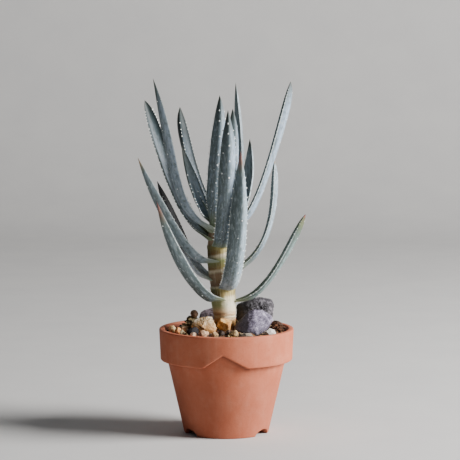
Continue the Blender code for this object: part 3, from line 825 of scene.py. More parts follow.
def flat_sides(name):
    """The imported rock's middle, and its sides as outward directions and distances."""
    rock = bpy.data.objects[name]
    corners = np.array([rock.matrix_world @ corner.co for corner in rock.data.vertices]) / MM
    corners -= (POT_X, 0.0, 0.0)
    middle = (corners.min(axis=0) + corners.max(axis=0)) / 2
    sides = set()
    for flat in rock.data.polygons:
        outward = np.array(rock.matrix_world.to_3x3() @ flat.normal)
        distance = outward @ (corners[flat.vertices[0]] - middle)
        sides.add(tuple(np.append(outward, distance).round(3)))
    return middle, np.array(sorted(sides))


def rock_points(name, seed, chips):
    """The rock about its own middle, with small flat chips struck off its corners and edges."""
    middle, sides = flat_sides(name)
    sides[:, 3] += OUTSET.get(name, 0.0) * (sides[:, 0] < -0.6)
    points, faces = ball(ROCK_FINENESS)
    share = np.maximum(points @ sides[:, :3].T / sides[:, 3], 0.0)
    points /= ((share**EDGE_POWER).sum(axis=1) ** (1 / EDGE_POWER))[:, None]
    return chipped(points, seed, chips, 0.94), faces, middle


# %% The face of broken stone: sizes of its bumps, of its grit and of its hollows
BUMPS = 5.0
GRIT = 1.3
HOLLOWS = 6.5
HOLLOWS_FROM = 0.25


def broken(points, rough):
    """The stone with a rough skin and a few hollows, kept inside its own size.

    Each noise is read at a distance of its own, so that bumps and hollows don't fall together.
    """
    outward = unit(points)
    coarse = ruggedness(points + 31.0, BUMPS, 3)
    fine = ruggedness(points + 77.0, GRIT, 4)
    hollow = np.maximum(ruggedness(points + 12.0, HOLLOWS, 3) - HOLLOWS_FROM, 0.0)
    depth = rough * (0.6 * np.abs(coarse) + 0.45 * np.abs(fine) + 1.6 * hollow)
    return points - outward * depth[:, None]


# %% [markdown]
# ## The stones' faces
# Broken stone is never one colour: it has clouds of darker and lighter rock, and crisp specks where
# grains have broken out. A painted picture could show that from one side only. Noise in the stone's
# own space runs right through it, as the real colours do. Two rocks have their left side painted
# darker, as painted shade, the cream one has a real orange stain low down, and one lies in thin layers.


# %% What a stone looks like: three screen colours, its specks, a side of another colour, which is painted shade on two rocks and a stain on one, how flat its layers are
class Look(NamedTuple):
    dark: tuple
    main: tuple
    light: tuple
    speck: float
    amount: float
    side: tuple = None
    layers: float = 1.0


# %% Finish of a stone, and how far the edge of its differently coloured side wanders
SIDE_WANDER = 5.0


def stone_finish(name, look):
    stone = Finish(name, 0.72)
    patches = stone.noise(3.4, 6.0, 0.7, stone.stretch((1.0, 1.0, look.layers)))
    base = stone.ramp(patches, (0.36, look.dark), (0.50, look.main), (0.68, look.light))
    pale = stone.ramp(stone.noise(look.speck, 3.0, 0.75), (0.54, 0.0), (0.62, look.amount))
    mixed = stone.mix(pale, base, look.light)
    deep = stone.ramp(stone.noise(look.speck * 1.3, 3.0, 0.75), (0.38, look.amount), (0.46, 0.0))
    mixed = stone.mix(deep, mixed, look.dark)
    # A side of another colour: painted shade on the left of rock_front and rock_back, a real orange stain low
    # on rock_cream.
    if look.side:
        axis, start, end, shade_and_stain = look.side
        wander = stone.combine("MULTIPLY", stone.noise(5.0, 4.0, 0.65), SIDE_WANDER * MM)
        there = stone.combine("ADD", stone.axis(axis), wander)
        usual = SIDE_WANDER / 2
        share = stone.span(there, (start + usual) * MM, (end + usual) * MM)
        mixed = stone.mix(stone.ramp(share, (0.0, 0.82), (1.0, 0.0)), mixed, shade_and_stain)
    stone.colour(mixed)
    stone.relief(stone.noise(look.speck, 5.0, 0.75), 0.30)
    return stone.material


# %% The big rocks: how many chips are struck off them, and how rough they are
class Rock(NamedTuple):
    seed: int
    chips: int
    rough: float
    look: Look


ROCKS = {
    # The dark left sides of rock_front and rock_back are painted shade.
    "rock_front": Rock(
        11, 12, 0.42,
        Look((48, 42, 56), (100, 92, 112), (188, 181, 200), 0.45, 0.7, side=(0, 17.0, 17.5, (42, 37, 46))),
    ),
    "rock_back": Rock(
        23, 20, 1.2,
        Look((12, 11, 13), (48, 45, 50), (134, 129, 136), 0.8, 0.6, side=(0, 15.0, 23.0, (12, 10, 11))),
    ),
    "rock_left": Rock(
        5, 18, 0.5,
        Look((96, 82, 90), (134, 120, 128), (172, 160, 166), 0.7, 0.4, layers=4.5),
    ),
    "rock_cream": Rock(
        7, 18, 0.75,
        Look((108, 76, 44), (190, 158, 112), (244, 234, 212), 0.8, 0.55, (2, 71.5, 77.5, (190, 126, 54))),
    ),
}


# %% The stones: where their middles lie, how big they are, how far they are turned
class Pebble(NamedTuple):
    middle: tuple
    size: tuple
    turn: float
    seed: int
    facets: int
    rough: float
    look: Look


STONES = {
    "pebble_amber": Pebble(
        (-1.4, -15.2, 73.8), (10.0, 8.6, 10.4), 0, 9, 5, 0.25,
        Look((144, 84, 32), (204, 148, 76), (240, 212, 156), 1.4, 0.5),
    ),
    "pebble_bead": Pebble(
        (-21.4, -1.4, 79.6), (5.4, 5.4, 5.4), 0, 2, 0, 0.1,
        Look((70, 48, 34), (112, 82, 60), (150, 122, 96), 0.8, 0.4),
    ),
    "pebble_olive": Pebble(
        (-22.6, -0.5, 72.6), (9.0, 8.6, 8.2), 30, 14, 5, 0.3,
        Look((72, 62, 44), (112, 98, 70), (156, 142, 108), 1.0, 0.5),
    ),
    "pebble_black": Pebble(
        (-21.8, -26.9, 70.9), (9.2, 5.2, 7.2), 8, 16, 6, 0.2,
        Look((7, 6, 7), (14, 12, 15), (36, 32, 40), 0.8, 0.35),
    ),
    "pebble_pink": Pebble(
        (-14.6, -32.2, 70.2), (8.0, 6.6, 6.6), 15, 17, 4, 0.5,
        Look((128, 84, 66), (186, 144, 112), (222, 192, 158), 0.8, 0.6),
    ),
    "pebble_beige": Pebble(
        (-7.4, -32.8, 69.8), (4.8, 6.0, 5.2), 0, 19, 3, 0.4,
        Look((116, 84, 56), (174, 140, 100), (208, 182, 142), 0.7, 0.5),
    ),
    "pebble_cream": Pebble(
        (-35.6, -12.2, 70.4), (5.6, 6.0, 6.0), 0, 21, 3, 0.45,
        Look((180, 130, 70), (216, 178, 124), (238, 218, 178), 0.8, 0.5),
    ),
    "pebble_orange": Pebble(
        (-31.8, -19.4, 70.4), (5.0, 5.6, 6.0), 10, 22, 4, 0.45,
        Look((170, 86, 34), (220, 144, 78), (238, 196, 146), 0.8, 0.5),
    ),
    "pebble_green": Pebble(
        (-28.6, -24.8, 70.2), (4.6, 5.0, 5.8), 0, 24, 3, 0.45,
        Look((132, 118, 84), (176, 160, 122), (210, 198, 164), 0.8, 0.5),
    ),
    "pebble_flat": Pebble(
        (-27.8, -14.6, 71.0), (5.0, 5.6, 4.2), 0, 25, 3, 0.45,
        Look((140, 98, 70), (184, 142, 108), (214, 184, 150), 0.8, 0.5),
    ),
    "pebble_white": Pebble(
        (28.6, -24.0, 70.4), (8.6, 6.6, 6.2), 20, 27, 3, 0.35,
        Look((170, 160, 150), (216, 210, 202), (240, 236, 230), 0.9, 0.5),
    ),
    "pebble_slate": Pebble(
        (12.6, -32.0, 69.2), (10.6, 6.0, 4.6), 8, 28, 4, 0.4,
        Look((112, 98, 84), (150, 136, 120), (186, 174, 156), 0.8, 0.6),
    ),
    "pebble_ochre": Pebble(
        (4.9, -29.4, 70.2), (6.4, 6.0, 6.0), 10, 35, 4, 0.5,
        Look((132, 102, 66), (178, 148, 102), (212, 190, 150), 0.8, 0.6),
    ),
    "pebble_peach": Pebble(
        (-21.2, -32.2, 69.8), (4.8, 3.8, 4.2), 12, 37, 2, 0.4,
        Look((190, 146, 112), (228, 192, 158), (242, 218, 192), 0.8, 0.5),
    ),
    "pebble_rust": Pebble(
        (34.2, 0.4, 71.6), (9.0, 8.4, 7.4), 10, 39, 7, 1.5,
        Look((26, 15, 10), (66, 38, 23), (118, 76, 46), 0.7, 0.7),
    ),
    "pebble_straw": Pebble(
        (10.6, 0.8, 72.0), (4.6, 4.2, 5.4), 0, 41, 3, 0.4,
        Look((168, 148, 100), (204, 190, 146), (226, 216, 182), 0.7, 0.5),
    ),
    "chip_left": Pebble(
        (-3.0, -27.4, 69.8), (4.4, 4.6, 5.2), 0, 31, 4, 0.2,
        Look((24, 18, 16), (52, 40, 34), (96, 78, 66), 0.7, 0.5),
    ),
    "chip_right": Pebble(
        (1.2, -25.6, 70.2), (3.8, 4.0, 5.0), 40, 33, 4, 0.2,
        Look((30, 20, 18), (64, 46, 38), (110, 86, 70), 0.7, 0.5),
    ),
}


# %% All the stones
PEBBLE_CHIPS = 16


def make_stones():
    for name, rock in ROCKS.items():
        points, faces, middle = rock_points(name, rock.seed, rock.chips)
        points = broken(points, rock.rough) + middle
        finish = stone_finish(name + "_face", rock.look)
        place(make_piece(name + "_stone", points, faces.tolist(), finish, 60), name, name)
    for name, pebble in STONES.items():
        points, faces = stone_points(pebble.size, pebble.seed, pebble.facets)
        if pebble.facets:
            points = chipped(points, pebble.seed, PEBBLE_CHIPS, 0.80)
        points = turned(broken(points, pebble.rough), pebble.turn) + np.array(pebble.middle)
        finish = stone_finish(name + "_face", pebble.look)
        place(make_piece(name + "_stone", points, faces.tolist(), finish, 60), name, name)
    print("stones:", len(ROCKS) + len(STONES))


make_stones()

# %% [markdown]
# ## The stem
# A young aloe's trunk is wrapped in the sheaths of its leaves. Where a leaf has gone, its sheath
# stays as a papery tan band with a thin pale edge. Under a living leaf it is green above and
# fades to cream below, with fine upright veins. Each sheath could be a sleeve of its own, but they
# lie so close that one tube with a step at each edge looks the same and stays one closed skin. Its
# rings are the plain model's, with many more sides, tilted a little as the leaves leave in turn.

# %% Rings of the stem: height, how far it leans sideways, and radius
STEM_RINGS = np.array(
    (
        (46.0, -0.8, 6.9),
        (66.0, -1.0, 7.0),
        (73.0, -1.1, 7.1),
        (77.0, -1.2, 7.4),
        (82.0, -1.5, 7.9),
        (86.0, -1.8, 8.2),
        (89.5, -1.9, 8.6),
        (91.0, -2.0, 8.2),
        (96.5, -2.3, 8.4),
        (98.5, -2.5, 8.7),
        (99.5, -2.7, 8.2),
        (105.0, -3.4, 8.3),
        (107.0, -3.7, 8.7),
        (108.0, -3.8, 8.3),
        (114.0, -4.2, 8.5),
        (116.0, -4.3, 8.8),
        (117.0, -4.3, 8.3),
        (124.0, -4.4, 8.4),
        (126.5, -4.4, 8.7),
        (127.5, -4.3, 8.2),
        (134.0, -4.1, 8.0),
        (141.0, -3.6, 6.8),
        (147.0, -3.1, 5.0),
        (151.0, -2.8, 3.0),
    )
)


def stem_at(z):
    """Sideways place and radius of the stem at a height or heights."""
    x = np.interp(z, STEM_RINGS[:, 0], STEM_RINGS[:, 1])
    return x, np.interp(z, STEM_RINGS[:, 0], STEM_RINGS[:, 2])


# %% Colours of the sheaths, each as a painted-shade copy for the side away from the lamp and a painted-light copy for the side towards it
SHEATH_COLOURS = {
    "stained": ((126, 76, 34), (176, 120, 62)),
    "ochre": ((196, 132, 66), (222, 176, 116)),
    "line": ((150, 106, 68), (190, 154, 114)),
    "cream": ((206, 180, 138), (228, 208, 174)),
    "pale green": ((150, 160, 112), (232, 226, 202)),
    "moss": ((126, 140, 96), (224, 213, 174)),
    "bark": ((116, 86, 50), (190, 174, 114)),
    "olive": ((114, 112, 62), (194, 186, 116)),
    "edge": ((210, 196, 166), (234, 220, 192)),
    "papery": ((148, 122, 96), (178, 152, 116)),
    "old papery": ((118, 92, 70), (150, 118, 88)),
    "green": ((116, 132, 82), (148, 158, 95)),
}

# %% The bands that they make, from the soil up, by their height
SHEATH_BANDS = (
    (70, "stained"),
    (75.5, "ochre"),
    (78.5, "cream"),
    (79.5, "line"),
    (82, "cream"),
    (86, "pale green"),
    (91, "moss"),
    (92.5, "bark"),
    (97.5, "olive"),
    (98.8, "edge"),
    (100, "old papery"),
    (107.5, "papery"),
    (109.5, "edge"),
    (111, "bark"),
    (116, "green"),
    (119.5, "edge"),
    (121, "bark"),
    (126, "olive"),
    (128.5, "papery"),
    (136, "papery"),
    (138.5, "green"),
    (150, "green"),
)
STEM_GIRTH = 8.0


def up_the_stem(height):
    """A height on the stem as a share from 0 to 1, for a ramp of colours."""
    return (height - 50.0) / 100.0


# %% Finish of the stem
def sheath_ramp(bark, at, side):
    stops = [(up_the_stem(height), SHEATH_COLOURS[name][side]) for height, name in SHEATH_BANDS]
    return bark.ramp(at, *stops)


def make_bark():
    bark = Finish("stem_sheaths", 0.62)
    height = bark.stored("height")
    cloud = bark.noise(3.0, 3.0)
    at = bark.combine("ADD", height, bark.combine("MULTIPLY", bark.combine("SUBTRACT", cloud, 0.5), 0.010))
    shaded, sunlit = [sheath_ramp(bark, at, side) for side in (0, 1)]
    ragged = bark.combine("MULTIPLY", bark.combine("SUBTRACT", bark.noise(3.6, 4.0, 0.65), 0.5), 0.9)
    # Painted light and shade: the two copies are mixed by how far each point faces the lamp, with a ragged
    # edge.
    side = bark.ramp(bark.combine("ADD", bark.stored("facing"), ragged), (0.28, 0.0), (0.70, 1.0))
    base = bark.mix(side, shaded, sunlit)
    veins = bark.veins(0.55, 14.0)
    striped = bark.ramp(at, (0.30, 0.12), (0.40, 0.3), (0.42, 0.9), (0.48, 0.9), (0.50, 0.6))
    dark = bark.combine("MULTIPLY", bark.ramp(veins, (0.40, 0.60), (0.56, 0.0)), striped)
    pale = bark.combine("MULTIPLY", bark.ramp(veins, (0.56, 0.0), (0.70, 0.45)), striped)
    streaked = bark.mix(dark, base, (132, 102, 62))
    bark.colour(bark.mix(pale, streaked, (240, 232, 206)))
    bark.relief(veins, 0.10)
    bark.relief(bark.noise(1.2, 4.0), 0.08)
    return bark.material


# %% The stem's skin: upright ribs, and fine crinkles low down
RIBS = (23, 37)
RIB_DEPTHS = (0.06, 0.036)
RIBBED_FROM = (88.0, 94.0)
CRINKLES = (76.6, 78.4, 80.6)
CRINKLE_DEPTH = 0.30
CRINKLE_REACH = 0.35
UNDER_THE_RING = 0.12


def stem_radius(z, level, turn):
    """Radius at each point, a little inside the plain model's ring."""
    _, radius = stem_at(level)
    winding = 1.3 * np.sin(0.2 * z)
    ribs = RIB_DEPTHS[0] * np.sin(RIBS[0] * turn + winding) + RIB_DEPTHS[1] * np.sin(RIBS[1] * turn)
    radius = radius - UNDER_THE_RING + ribs * np.interp(z, RIBBED_FROM, (0.25, 1.0))
    wavy = z + 0.5 * np.sin(3 * turn + 1.0) + 0.3 * np.sin(7 * turn)
    for crinkle in CRINKLES:
        radius = radius - CRINKLE_DEPTH * np.exp(-(((wavy - crinkle) / CRINKLE_REACH) ** 2))
    return radius


# %% The stem, its rings tilted where the leaves leave it
STEM_FOOT = 60.0
STEM_IN_SOIL = 68.0
STEM_TOP = 151.0
RING_STEP = 0.35
RING_TILT = 0.20


def make_stem():
    sides = 120
    low = np.linspace(STEM_FOOT, STEM_IN_SOIL, 5)
    heights = np.concatenate([low, np.arange(STEM_IN_SOIL + 0.4, STEM_TOP, RING_STEP), [STEM_TOP]])
    turns = np.linspace(0.0, 2 * math.pi, sides, endpoint=False)
    z, turn = [grid.ravel() for grid in np.meshgrid(heights, turns, indexing="ij")]
    tilt = RING_TILT * np.clip((z - 80.0) / 14.0, 0.0, 1.0) * np.clip((140.0 - z) / 10.0, 0.0, 1.0)
    _, guess = stem_at(z)
    level = z - tilt * guess * np.cos(turn)
    radius = stem_radius(z, level, turn)
    middle, _ = stem_at(z)
    points = np.stack([middle + radius * np.cos(turn), radius * np.sin(turn), z], axis=1)
    stem = make_piece("aloe_stem", points, capped_faces(len(heights), sides), make_bark(), 45)
    # facing is how far each point faces the lamp, for the sheaths' painted light and shade.
    carry(stem, height=up_the_stem(level), facing=0.5 + 0.5 * np.cos(turn), along=z, across=turn * STEM_GIRTH)
    print("stem:", len(heights), "rings of", sides)
    return place(stem, "stem", "stem")


make_stem()

# %% [markdown]
# ## The leaves
# Each leaf is a narrow keeled blade: flat or channelled above, rounded below, with a toothed
# margin. It leaves the stem in a clasping base, bows out and turns upwards. A curve with a bevel
# would sweep one section along a line, but a leaf's section changes all the way. So the middle line
# is the same smooth curve as in the plain model, a new section is worked out at each step along it,
# and near the root the sections are bent round the stem, as if the leaf grew out of its sheath.


# %% What gives a leaf its place and form
class Leaf(NamedTuple):
    """Millimetres and degrees. It leaves the stem at root_z in the direction turn, with this rise.

    It reaches its tip with tip_rise. The holds say how long it keeps its first and last direction.
    Roll turns it about its own line. Keel goes from 0, a round back, to 1, a sharp one.
    """

    root_z: float
    turn: float
    rise: float
    tip: tuple
    tip_rise: float
    width: float
    roll: float
    hold: float
    tip_hold: float
    keel: float
    end: str


# %% The leaves, from the lowest root to the highest
LEAVES = {
    "leaf_01": Leaf(91.0, 225, 4, (-45.5, -29.7, 157.7), 67, 10.6, 6, 0.16, 0.73, 0.1, "red"),
    "leaf_02": Leaf(89.0, -7, -2, (52.6, -4.0, 146.6), 46, 9.0, 12, 0.35, 0.20, 0.3, "olive"),
    "leaf_03": Leaf(97.5, -59, 17, (9.4, -23.4, 189.8), 88, 13.7, 0, 0.10, 0.62, 0.7, "red"),
    "leaf_04": Leaf(101.0, 80, 22, (5.0, 42.0, 158.0), 60, 9.4, 0, 0.18, 0.52, 0.3, "red"),
    "leaf_05": Leaf(104.0, 157, 5, (-46.7, 18.1, 167.2), 60, 11.4, 0, 0.23, 0.52, 0.3, "nearly_black"),
    "leaf_06": Leaf(106.5, 18, 22, (32.4, 20.3, 180.4), 74, 8.1, -14, 0.50, 0.20, 0.1, "tan"),
    "leaf_07": Leaf(116.0, 210, 5, (-57.8, -24.8, 185.7), 61, 10.5, 2, 0.21, 0.67, 0.4, "tan"),
    "leaf_08": Leaf(118.0, 100, 25, (-6.0, 41.0, 182.0), 68, 9.6, 0, 0.18, 0.52, 0.3, "red"),
    "leaf_09": Leaf(125.0, -75, 39, (1.1, -23.9, 216.5), 95, 12.4, 0, 0.10, 0.45, 0.3, "grey"),
    "leaf_10": Leaf(131.0, 174, 19, (-54.5, 8.8, 221.6), 64, 8.9, -54, 0.26, 0.22, 0.3, "dark"),
    "leaf_11": Leaf(131.0, 47, 34, (15.7, 20.1, 195.1), 90, 9.8, 5, 0.20, 0.52, 0.1, "pale"),
    "leaf_12": Leaf(136.5, 208, 24, (-47.9, -17.9, 237.0), 69, 9.2, 1, 0.35, 0.52, 0.4, "grey"),
    "leaf_13": Leaf(138.0, 1, -2, (42.6, 4.0, 234.2), 67, 10.0, 1, 0.20, 0.20, 0.1, "grey"),
    "leaf_14": Leaf(139.0, 237, 60, (-4.4, -11.5, 225.7), 101, 10.3, 10, 0.23, 0.35, 0.3, "grey"),
    "leaf_15": Leaf(142.0, 173, 40, (-29.9, 3.8, 192.4), 71, 10.0, -34, 0.15, 0.78, 0.3, "grey"),
    "leaf_16": Leaf(146.0, 144, 38, (-31.2, 20.1, 216.7), 77, 9.9, 5, 0.24, 0.36, 0.2, "dark"),
    "leaf_17": Leaf(147.0, 15, 57, (6.2, 4.1, 233.4), 91, 7.5, 8, 0.26, 0.52, 0.2, "pale"),
    "leaf_18": Leaf(149.0, -35, 68, (4.2, -5.4, 216.7), 87, 10.2, -6, 0.18, 0.40, 0.4, "grey"),
}
ROOT_REACH = 4.5
ROLL_OVER = 0.3
CROWN = list(LEAVES)[-7:]
CROWN_WAIST = 0.72


# %% The middle line of a leaf: a Bezier curve from root to tip, with one handle at each end
def leaf_line(name, share):
    """Points, forward, sideways and upward directions at shares of the way to the tip."""
    leaf = LEAVES[name]
    turn, rise, tip_rise = (math.radians(a) for a in (leaf.turn, leaf.rise, leaf.tip_rise))
    share = np.asarray(share, float)[:, None]
    rest = 1.0 - share
    outward = np.array([math.cos(turn), math.sin(turn), 0.0])
    root = np.array([stem_at(leaf.root_z)[0], 0.0, leaf.root_z]) + ROOT_REACH * outward
    tip = np.array(leaf.tip)
    length = np.linalg.norm(tip - root)
    plan = unit((tip - root) * (1.0, 1.0, 0.0))
    low = root + leaf.hold * length * (outward * math.cos(rise) + UP * math.sin(rise))
    high = tip - leaf.tip_hold * length * (plan * math.cos(tip_rise) + UP * math.sin(tip_rise))
    line = rest**3 * root + 3 * rest**2 * share * low + 3 * rest * share**2 * high + share**3 * tip
    forward = unit(rest**2 * (low - root) + 2 * rest * share * (high - low) + share**2 * (tip - high))
    facing = unit(outward * rest + plan * share)
    climb = forward[:, 2:3]
    upward = UP * np.sqrt(np.maximum(1.0 - climb**2, 0.0)) - facing * climb
    upward = unit(upward - (upward * forward).sum(axis=1, keepdims=True) * forward)
    sideways = np.cross(forward, upward)
    bend = math.radians(leaf.roll) * np.minimum(1.0, share / ROLL_OVER)
    rolled_up = upward * np.cos(bend) + sideways * np.sin(bend)
    rolled_side = sideways * np.cos(bend) - upward * np.sin(bend)
    return line, forward, rolled_side, rolled_up


def leaf_length(name):
    line = leaf_line(name, np.linspace(0.0, 1.0, 81))[0]
    return float(np.linalg.norm(np.diff(line, axis=0), axis=1).sum())


leaf_lengths = [leaf_length(name) for name in LEAVES]
print("shortest leaf:", round(min(leaf_lengths)), "mm, longest:", round(max(leaf_lengths)), "mm")


# %% Width and thickness along a leaf: the crown's leaves are narrower at the root, some end bluntly
TAPER_FROM = 0.46
TAPER_POWER = 3.4
BLUNT_TAPER = 5.0
BLUNT = ("leaf_10", "leaf_13", "leaf_16")
DEPTH_RATIO = 0.44
CHANNEL_RATIO = 0.20


def leaf_width(name, share):
    waist = CROWN_WAIST if name in CROWN else 1.0
    widening = waist + (1.0 - waist) * np.minimum(1.0, share / 0.25)
    past = np.maximum(0.0, (share - TAPER_FROM) / (1.0 - TAPER_FROM))
    power = BLUNT_TAPER if name in BLUNT else TAPER_POWER
    return LEAVES[name].width * widening * (1.0 - past**power)


def leaf_depth(name, share):
    swell = 0.6 + 0.4 * np.minimum(1.0, share / 0.2) - 0.2 * share
    swell = swell + 0.68 * np.maximum(0.0, (share - 0.45) / 0.55)
    return DEPTH_RATIO * leaf_width(name, share) * swell


# %% One section: the back from margin to margin, then the upper face back again
BACK_POINTS = 21
FACE_POINTS = 13
SECTION_STEP = 0.75
LEAST_SECTIONS = 90


def section_places():
    back = np.cos(np.linspace(0.0, math.pi, BACK_POINTS))
    face = -np.cos(np.linspace(0.0, math.pi, FACE_POINTS + 2))[1:-1]
    across = np.concatenate([back, face])
    under = np.concatenate([np.ones(BACK_POINTS), np.zeros(FACE_POINTS)])
    return across, under


print("points in one section:", BACK_POINTS + FACE_POINTS)


# %% How deep the back is at each place across, from rounded to keeled
def back_shape(across, keel):
    power = 2.0 - 0.8 * keel
    return (1.0 - np.abs(across) ** power) ** (0.62 + 0.2 * keel)


# %% The clasping base: how long it is, how far round the stem it wraps, how far below the root it ends
CLASP = 15.0
CLASPS = {
    "leaf_01": (60, 3.4),
    "leaf_02": (26, 1.6),
    "leaf_03": (50, 1.0),
    "leaf_07": (74, 2.2),
    "leaf_09": (56, 0.0),
}
USUAL_CLASP = (74, 3.4)
IN_THE_STEM = -1.0
SWELL = 2.1
THIN_EDGE = 0.72
EDGE_LIFT = 0.6


def clasped(name, points, share, across, under, length):
    """Sections near the root bent round the stem, easing into the free leaf."""
    leaf = LEAVES[name]
    wrap, drop = CLASPS.get(name, USUAL_CLASP)
    grown = share * length / CLASP
    turn = math.radians(leaf.turn) - across * math.radians(wrap)
    height = leaf.root_z - drop * (1.0 - np.minimum(grown, 1.0)) + EDGE_LIFT * across**2
    middle, radius = stem_at(height)
    flare = (IN_THE_STEM + SWELL * ease(grown / 0.55)) * (1.0 - THIN_EDGE * across**2)
    reach = radius + np.where(under > 0.5, flare, IN_THE_STEM)
    held = np.stack([middle + reach * np.cos(turn), reach * np.sin(turn), height], axis=-1)
    loose = ease(grown)[..., None]
    return held * (1.0 - loose) + points * loose


# %% A leaf's skin, its margins a little wavy
WAVE = 0.02
WAVES = 31.0


def leaf_skin(name):
    """Points of the leaf as (sections, places, 3), with the shares and places they lie at."""
    leaf = LEAVES[name]
    length = leaf_length(name)
    share = np.linspace(0.0, 1.0, max(LEAST_SECTIONS, round(length / SECTION_STEP)))[:-1]
    line, forward, sideways, upward = leaf_line(name, share)
    across, under = section_places()
    half = leaf_width(name, share)[:, None] / 2
    depth = leaf_depth(name, share)[:, None]
    channel = 2 * CHANNEL_RATIO * half * (1.0 - across**2)
    up = np.where(under > 0.5, -depth * back_shape(across, leaf.keel), -channel)
    wave = 1.0 + WAVE * np.sin(share * WAVES + leaf.turn)[:, None]
    points = line[:, None] + (half * wave * across)[..., None] * sideways[:, None]
    points = points + up[..., None] * upward[:, None]
    grid = np.broadcast_to(across, points.shape[:2])
    points = clasped(name, points, share[:, None], grid, under, length)
    return points, share, across, under, length, half


# %% [markdown]
# ## The leaves' finish
# An aloe's green skin lies under a whitish wax, rubbed off in spots. The wax colour is laid on thickest
# where a leaf faces the lamp and thinner on its upper face: painted light and painted shade over the
# wax's own random clouds. The margins have a dark green line, partly painted shade, and a pale rim, and
# the tips wither to red, tan or brown, one of them nearly black. A picture could be wrapped round each
# blade, but it would be drawn out where the blade narrows. Instead every point of a leaf carries a few
# numbers, such as how far it is to the tip and how much painted light it gets, and one small tree of
# nodes turns them into colours. Leaves that end alike share a finish.

# %% Ends of the leaves: colours and their distance from the tip, then where they fade out
LEAF_ENDS = {
    "red": (
        (0, (90, 50, 46)),
        (2.5, (122, 84, 76)),
        (4.5, (112, 90, 78)),
        (8, (98, 104, 86)),
        4,
        10,
    ),
    "olive": (
        (0, (88, 30, 26)),
        (2.5, (128, 62, 46)),
        (4, (86, 82, 50)),
        (10, (94, 102, 72)),
        (18, (72, 88, 74)),
        12,
        26,
    ),
    "tan": ((0, (150, 112, 84)), (2, (150, 130, 102)), (4, (112, 112, 96)), 2, 6),
    "grey": ((0, (44, 48, 42)), (6, (66, 76, 72)), (18, (80, 92, 94)), 2, 24),
    "dark": ((0, (40, 46, 40)), (6, (44, 54, 54)), (26, (52, 66, 72)), 15, 40),
    "pale": ((0, (60, 64, 56)), (5, (84, 92, 86)), 2, 8),
    # This end is nearly black for its last 38 mm and fades out by 50 mm.
    "nearly_black": ((0, (8, 7, 6)), (24, (12, 10, 9)), (44, (34, 30, 28)), 38, 50),
}
END_SPAN = 80.0
RAGGED_END = 5.0

# %% Skin colours: of the green skin where the wax is thin, and of the wax itself
USUAL_SKIN = ((84, 96, 95), (152, 170, 191))
LEAF_SKINS = {
    "red": ((80, 92, 91), (152, 170, 184)),
    "tan": ((88, 99, 99), (154, 172, 186)),
    # The next two skins are paler than the rest: painted light on leaf_05, leaf_11 and leaf_17, which lie in
    # shade.
    "nearly_black": ((122, 128, 140), (172, 180, 200)),
    "pale": ((126, 142, 144), (176, 190, 202)),
    "olive": ((84, 100, 92), (140, 160, 164)),
}


# %% The skin under its wax, and how much wax colour it gets: more where it faces the lamp, as painted light, and less on the upper face, as painted shade
def wax_with_painted_light(leaf, green, wax):
    cloudy = leaf.combine("MULTIPLY", leaf.combine("SUBTRACT", leaf.noise(7.0, 5.0, 0.65), 0.5), 0.7)
    sunny = leaf.combine("ADD", leaf.stored("sunny"), cloudy)
    wax_and_painted_light = leaf.ramp(sunny, (0.20, 0.10), (0.68, 0.30), (0.97, 1.0))
    # The upper faces get less wax colour, as painted shade.
    wear_and_painted_shade = leaf.combine("SUBTRACT", 1.0, leaf.combine("MULTIPLY", leaf.stored("upper"), 0.35))
    skin = leaf.mix(leaf.combine("MULTIPLY", wax_and_painted_light, wear_and_painted_shade), green, wax)
    patches = leaf.ramp(leaf.noise(4.0, 5.0, 0.6), (0.32, 0.55), (0.56, 1.0))
    bloom = leaf.combine("MULTIPLY", leaf.stored("bloom"), patches)
    return leaf.mix(bloom, skin, (206, 215, 226)), wax_and_painted_light


# %% Streaks along the leaf, flecks of wax, spots where it is rubbed off, and powder
def flecked(leaf, skin, streaks, green, wax):
    streaked = leaf.mix(leaf.ramp(streaks, (0.35, 0.40), (0.60, 0.0)), skin, green)
    most = leaf.ramp(leaf.span(leaf.stored("along"), 4.0, 60.0), (0.0, 0.85), (1.0, 0.30))
    flecks = leaf.combine("MULTIPLY", leaf.ramp(leaf.veins(0.9, 9.0), (0.52, 0.0), (0.64, 1.0)), most)
    waxy = leaf.mix(leaf.combine("MULTIPLY", flecks, 0.7), streaked, wax)
    wear_and_painted_shade = leaf.ramp(leaf.veins(1.4, 4.5), (0.36, 0.62), (0.50, 0.0))
    rubbed = leaf.mix(wear_and_painted_shade, waxy, leaf.mix(0.5, green, (60, 76, 64)))
    powder = leaf.ramp(leaf.veins(1.0, 3.5), (0.53, 0.0), (0.65, 0.45))
    return leaf.mix(powder, rubbed, (176, 188, 190))


# %% The dark line and pale rim of the margins, the line partly painted shade, and the green sheath at the root
def bordered(leaf, skin, streaks):
    lined = leaf.mix(leaf.stored("edging"), skin, (40, 50, 47))
    rim = leaf.ramp(leaf.stored("edge"), (0.97, 0.0), (0.99, 0.8))
    rimmed = leaf.mix(rim, lined, (188, 200, 200))
    root = leaf.ramp(leaf.stored("root"), (0.0, 1.0), (0.30, 0.80), (1.0, 0.0))
    sheath = leaf.ramp(streaks, (0.34, (108, 122, 86)), (0.60, (170, 176, 134)))
    return leaf.mix(root, rimmed, sheath)


# %% The coloured end, with a ragged edge
def coloured_tip(leaf, skin, end):
    *stops, full, gone = LEAF_ENDS[end]
    cloud = leaf.combine("SUBTRACT", leaf.noise(2.6, 4.0), 0.5)
    ragged = leaf.combine("MULTIPLY", cloud, RAGGED_END / END_SPAN)
    to_tip = leaf.combine("ADD", leaf.stored("to_tip"), ragged)
    share = leaf.ramp(to_tip, (full / END_SPAN, 0.97), (gone / END_SPAN, 0.0))
    colours = leaf.ramp(to_tip, *[(at / END_SPAN, colour) for at, colour in stops])
    return leaf.mix(share, skin, colours)


